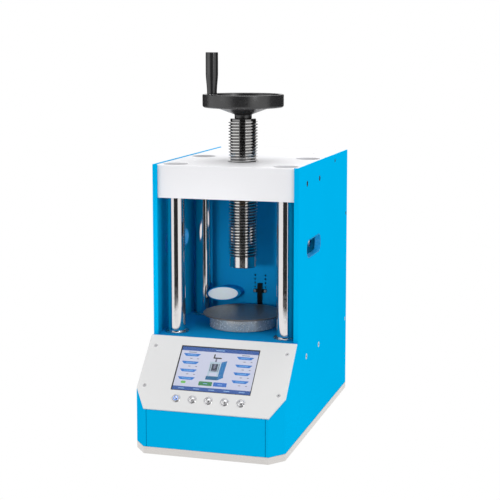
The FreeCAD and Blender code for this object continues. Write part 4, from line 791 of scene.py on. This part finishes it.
def area_light(name, place, target, width, height, power):
    data = bpy.data.lights.new(name, "AREA")
    data.shape = "RECTANGLE"
    data.size = width
    data.size_y = height
    data.energy = power
    item = bpy.data.objects.new(name, data)
    item.location = place
    item.rotation_euler = (Vector(target) - Vector(place)).to_track_quat("-Z", "Y").to_euler()
    bpy.context.scene.collection.objects.link(item)


def chamber_spot():
    """Narrow soft beam from the front, through the chamber's opening."""
    data = bpy.data.lights.new("chamber", "SPOT")
    data.energy = SPOT_POWER
    data.spot_size = math.radians(SPOT_WIDTH)
    data.spot_blend = 0.35
    data.shadow_soft_size = 0.1
    item = bpy.data.objects.new("chamber", data)
    place = Vector(SPOT_PLACE)
    item.location = place
    item.rotation_euler = (Vector(SPOT_TARGET) - place).to_track_quat("-Z", "Y").to_euler()
    item.visible_glossy = False
    bpy.context.scene.collection.objects.link(item)


def dark_flag(name, turn_from, turn_to, distance, height):
    """Curved dark screen that only shows in reflections; turns are degrees right of the front."""
    mesh = bmesh.new()
    rows = []
    steps = 12
    for k in range(steps + 1):
        turn = math.radians(turn_from + (turn_to - turn_from) * k / steps)
        x = distance * math.sin(turn)
        y = -distance * math.cos(turn)
        rows.append((mesh.verts.new((x, y, 0.002)), mesh.verts.new((x, y, height))))
    for (a, b), (c, d) in zip(rows, rows[1:]):
        mesh.faces.new((a, c, d, b))
    finish = Finish(name, (16, 16, 18), 0.9).mottled(200, 0.1).done()
    flag = finish_piece(mesh, name, finish)
    flag.visible_camera = False
    flag.visible_diffuse = False
    flag.visible_shadow = False
    flag.visible_transmission = False


def floor():
    """White paper that lights itself, so that it runs into the background without a horizon."""
    mesh = bmesh.new()
    reach = FLOOR_REACH
    corners = rectangle(-reach, reach, -reach, reach)
    mesh.faces.new([mesh.verts.new((x, y, 0)) for x, y in corners])
    paper = Finish("studio_floor", (0, 0, 0), 0.8, Specular_IOR_Level=0.0)
    paper.shader.inputs["Emission Color"].default_value = (1, 1, 1, 1)
    paper.shader.inputs["Emission Strength"].default_value = 1.0
    paper = paper.mottled(400, 0.005).done()
    finish_piece(mesh, "studio_floor", paper)


def studio():
    camera()
    world()
    floor()
    area_light("key", (1.9, -1.7, 1.5), MIDDLE, 0.3, 1.5, 9)
    area_light("fill", (-1.7, -1.9, 1.3), MIDDLE, 0.9, 1.6, 3)
    area_light("top", (0.1, 0.2, 2.4), MIDDLE, 1.8, 1.8, 16)
    chamber_spot()
    dark_flag("flag_front", -15, 33, 1.35, FLAG_HEIGHT)
    dark_flag("flag_right", 90, 175, 1.6, FLAG_HEIGHT)
    dark_flag("flag_left", -150, -95, 1.6, FLAG_HEIGHT)
    settings = bpy.context.scene.view_settings
    settings.view_transform = "Standard"
    settings.look = "None"


# ---------------------------------------------------------------- everything
studio()
paint_cad_nodes()
handwheel()
grip()
button_bezels()
button_caps()
screen_picture()
inlet_pins()
rocker_marks()
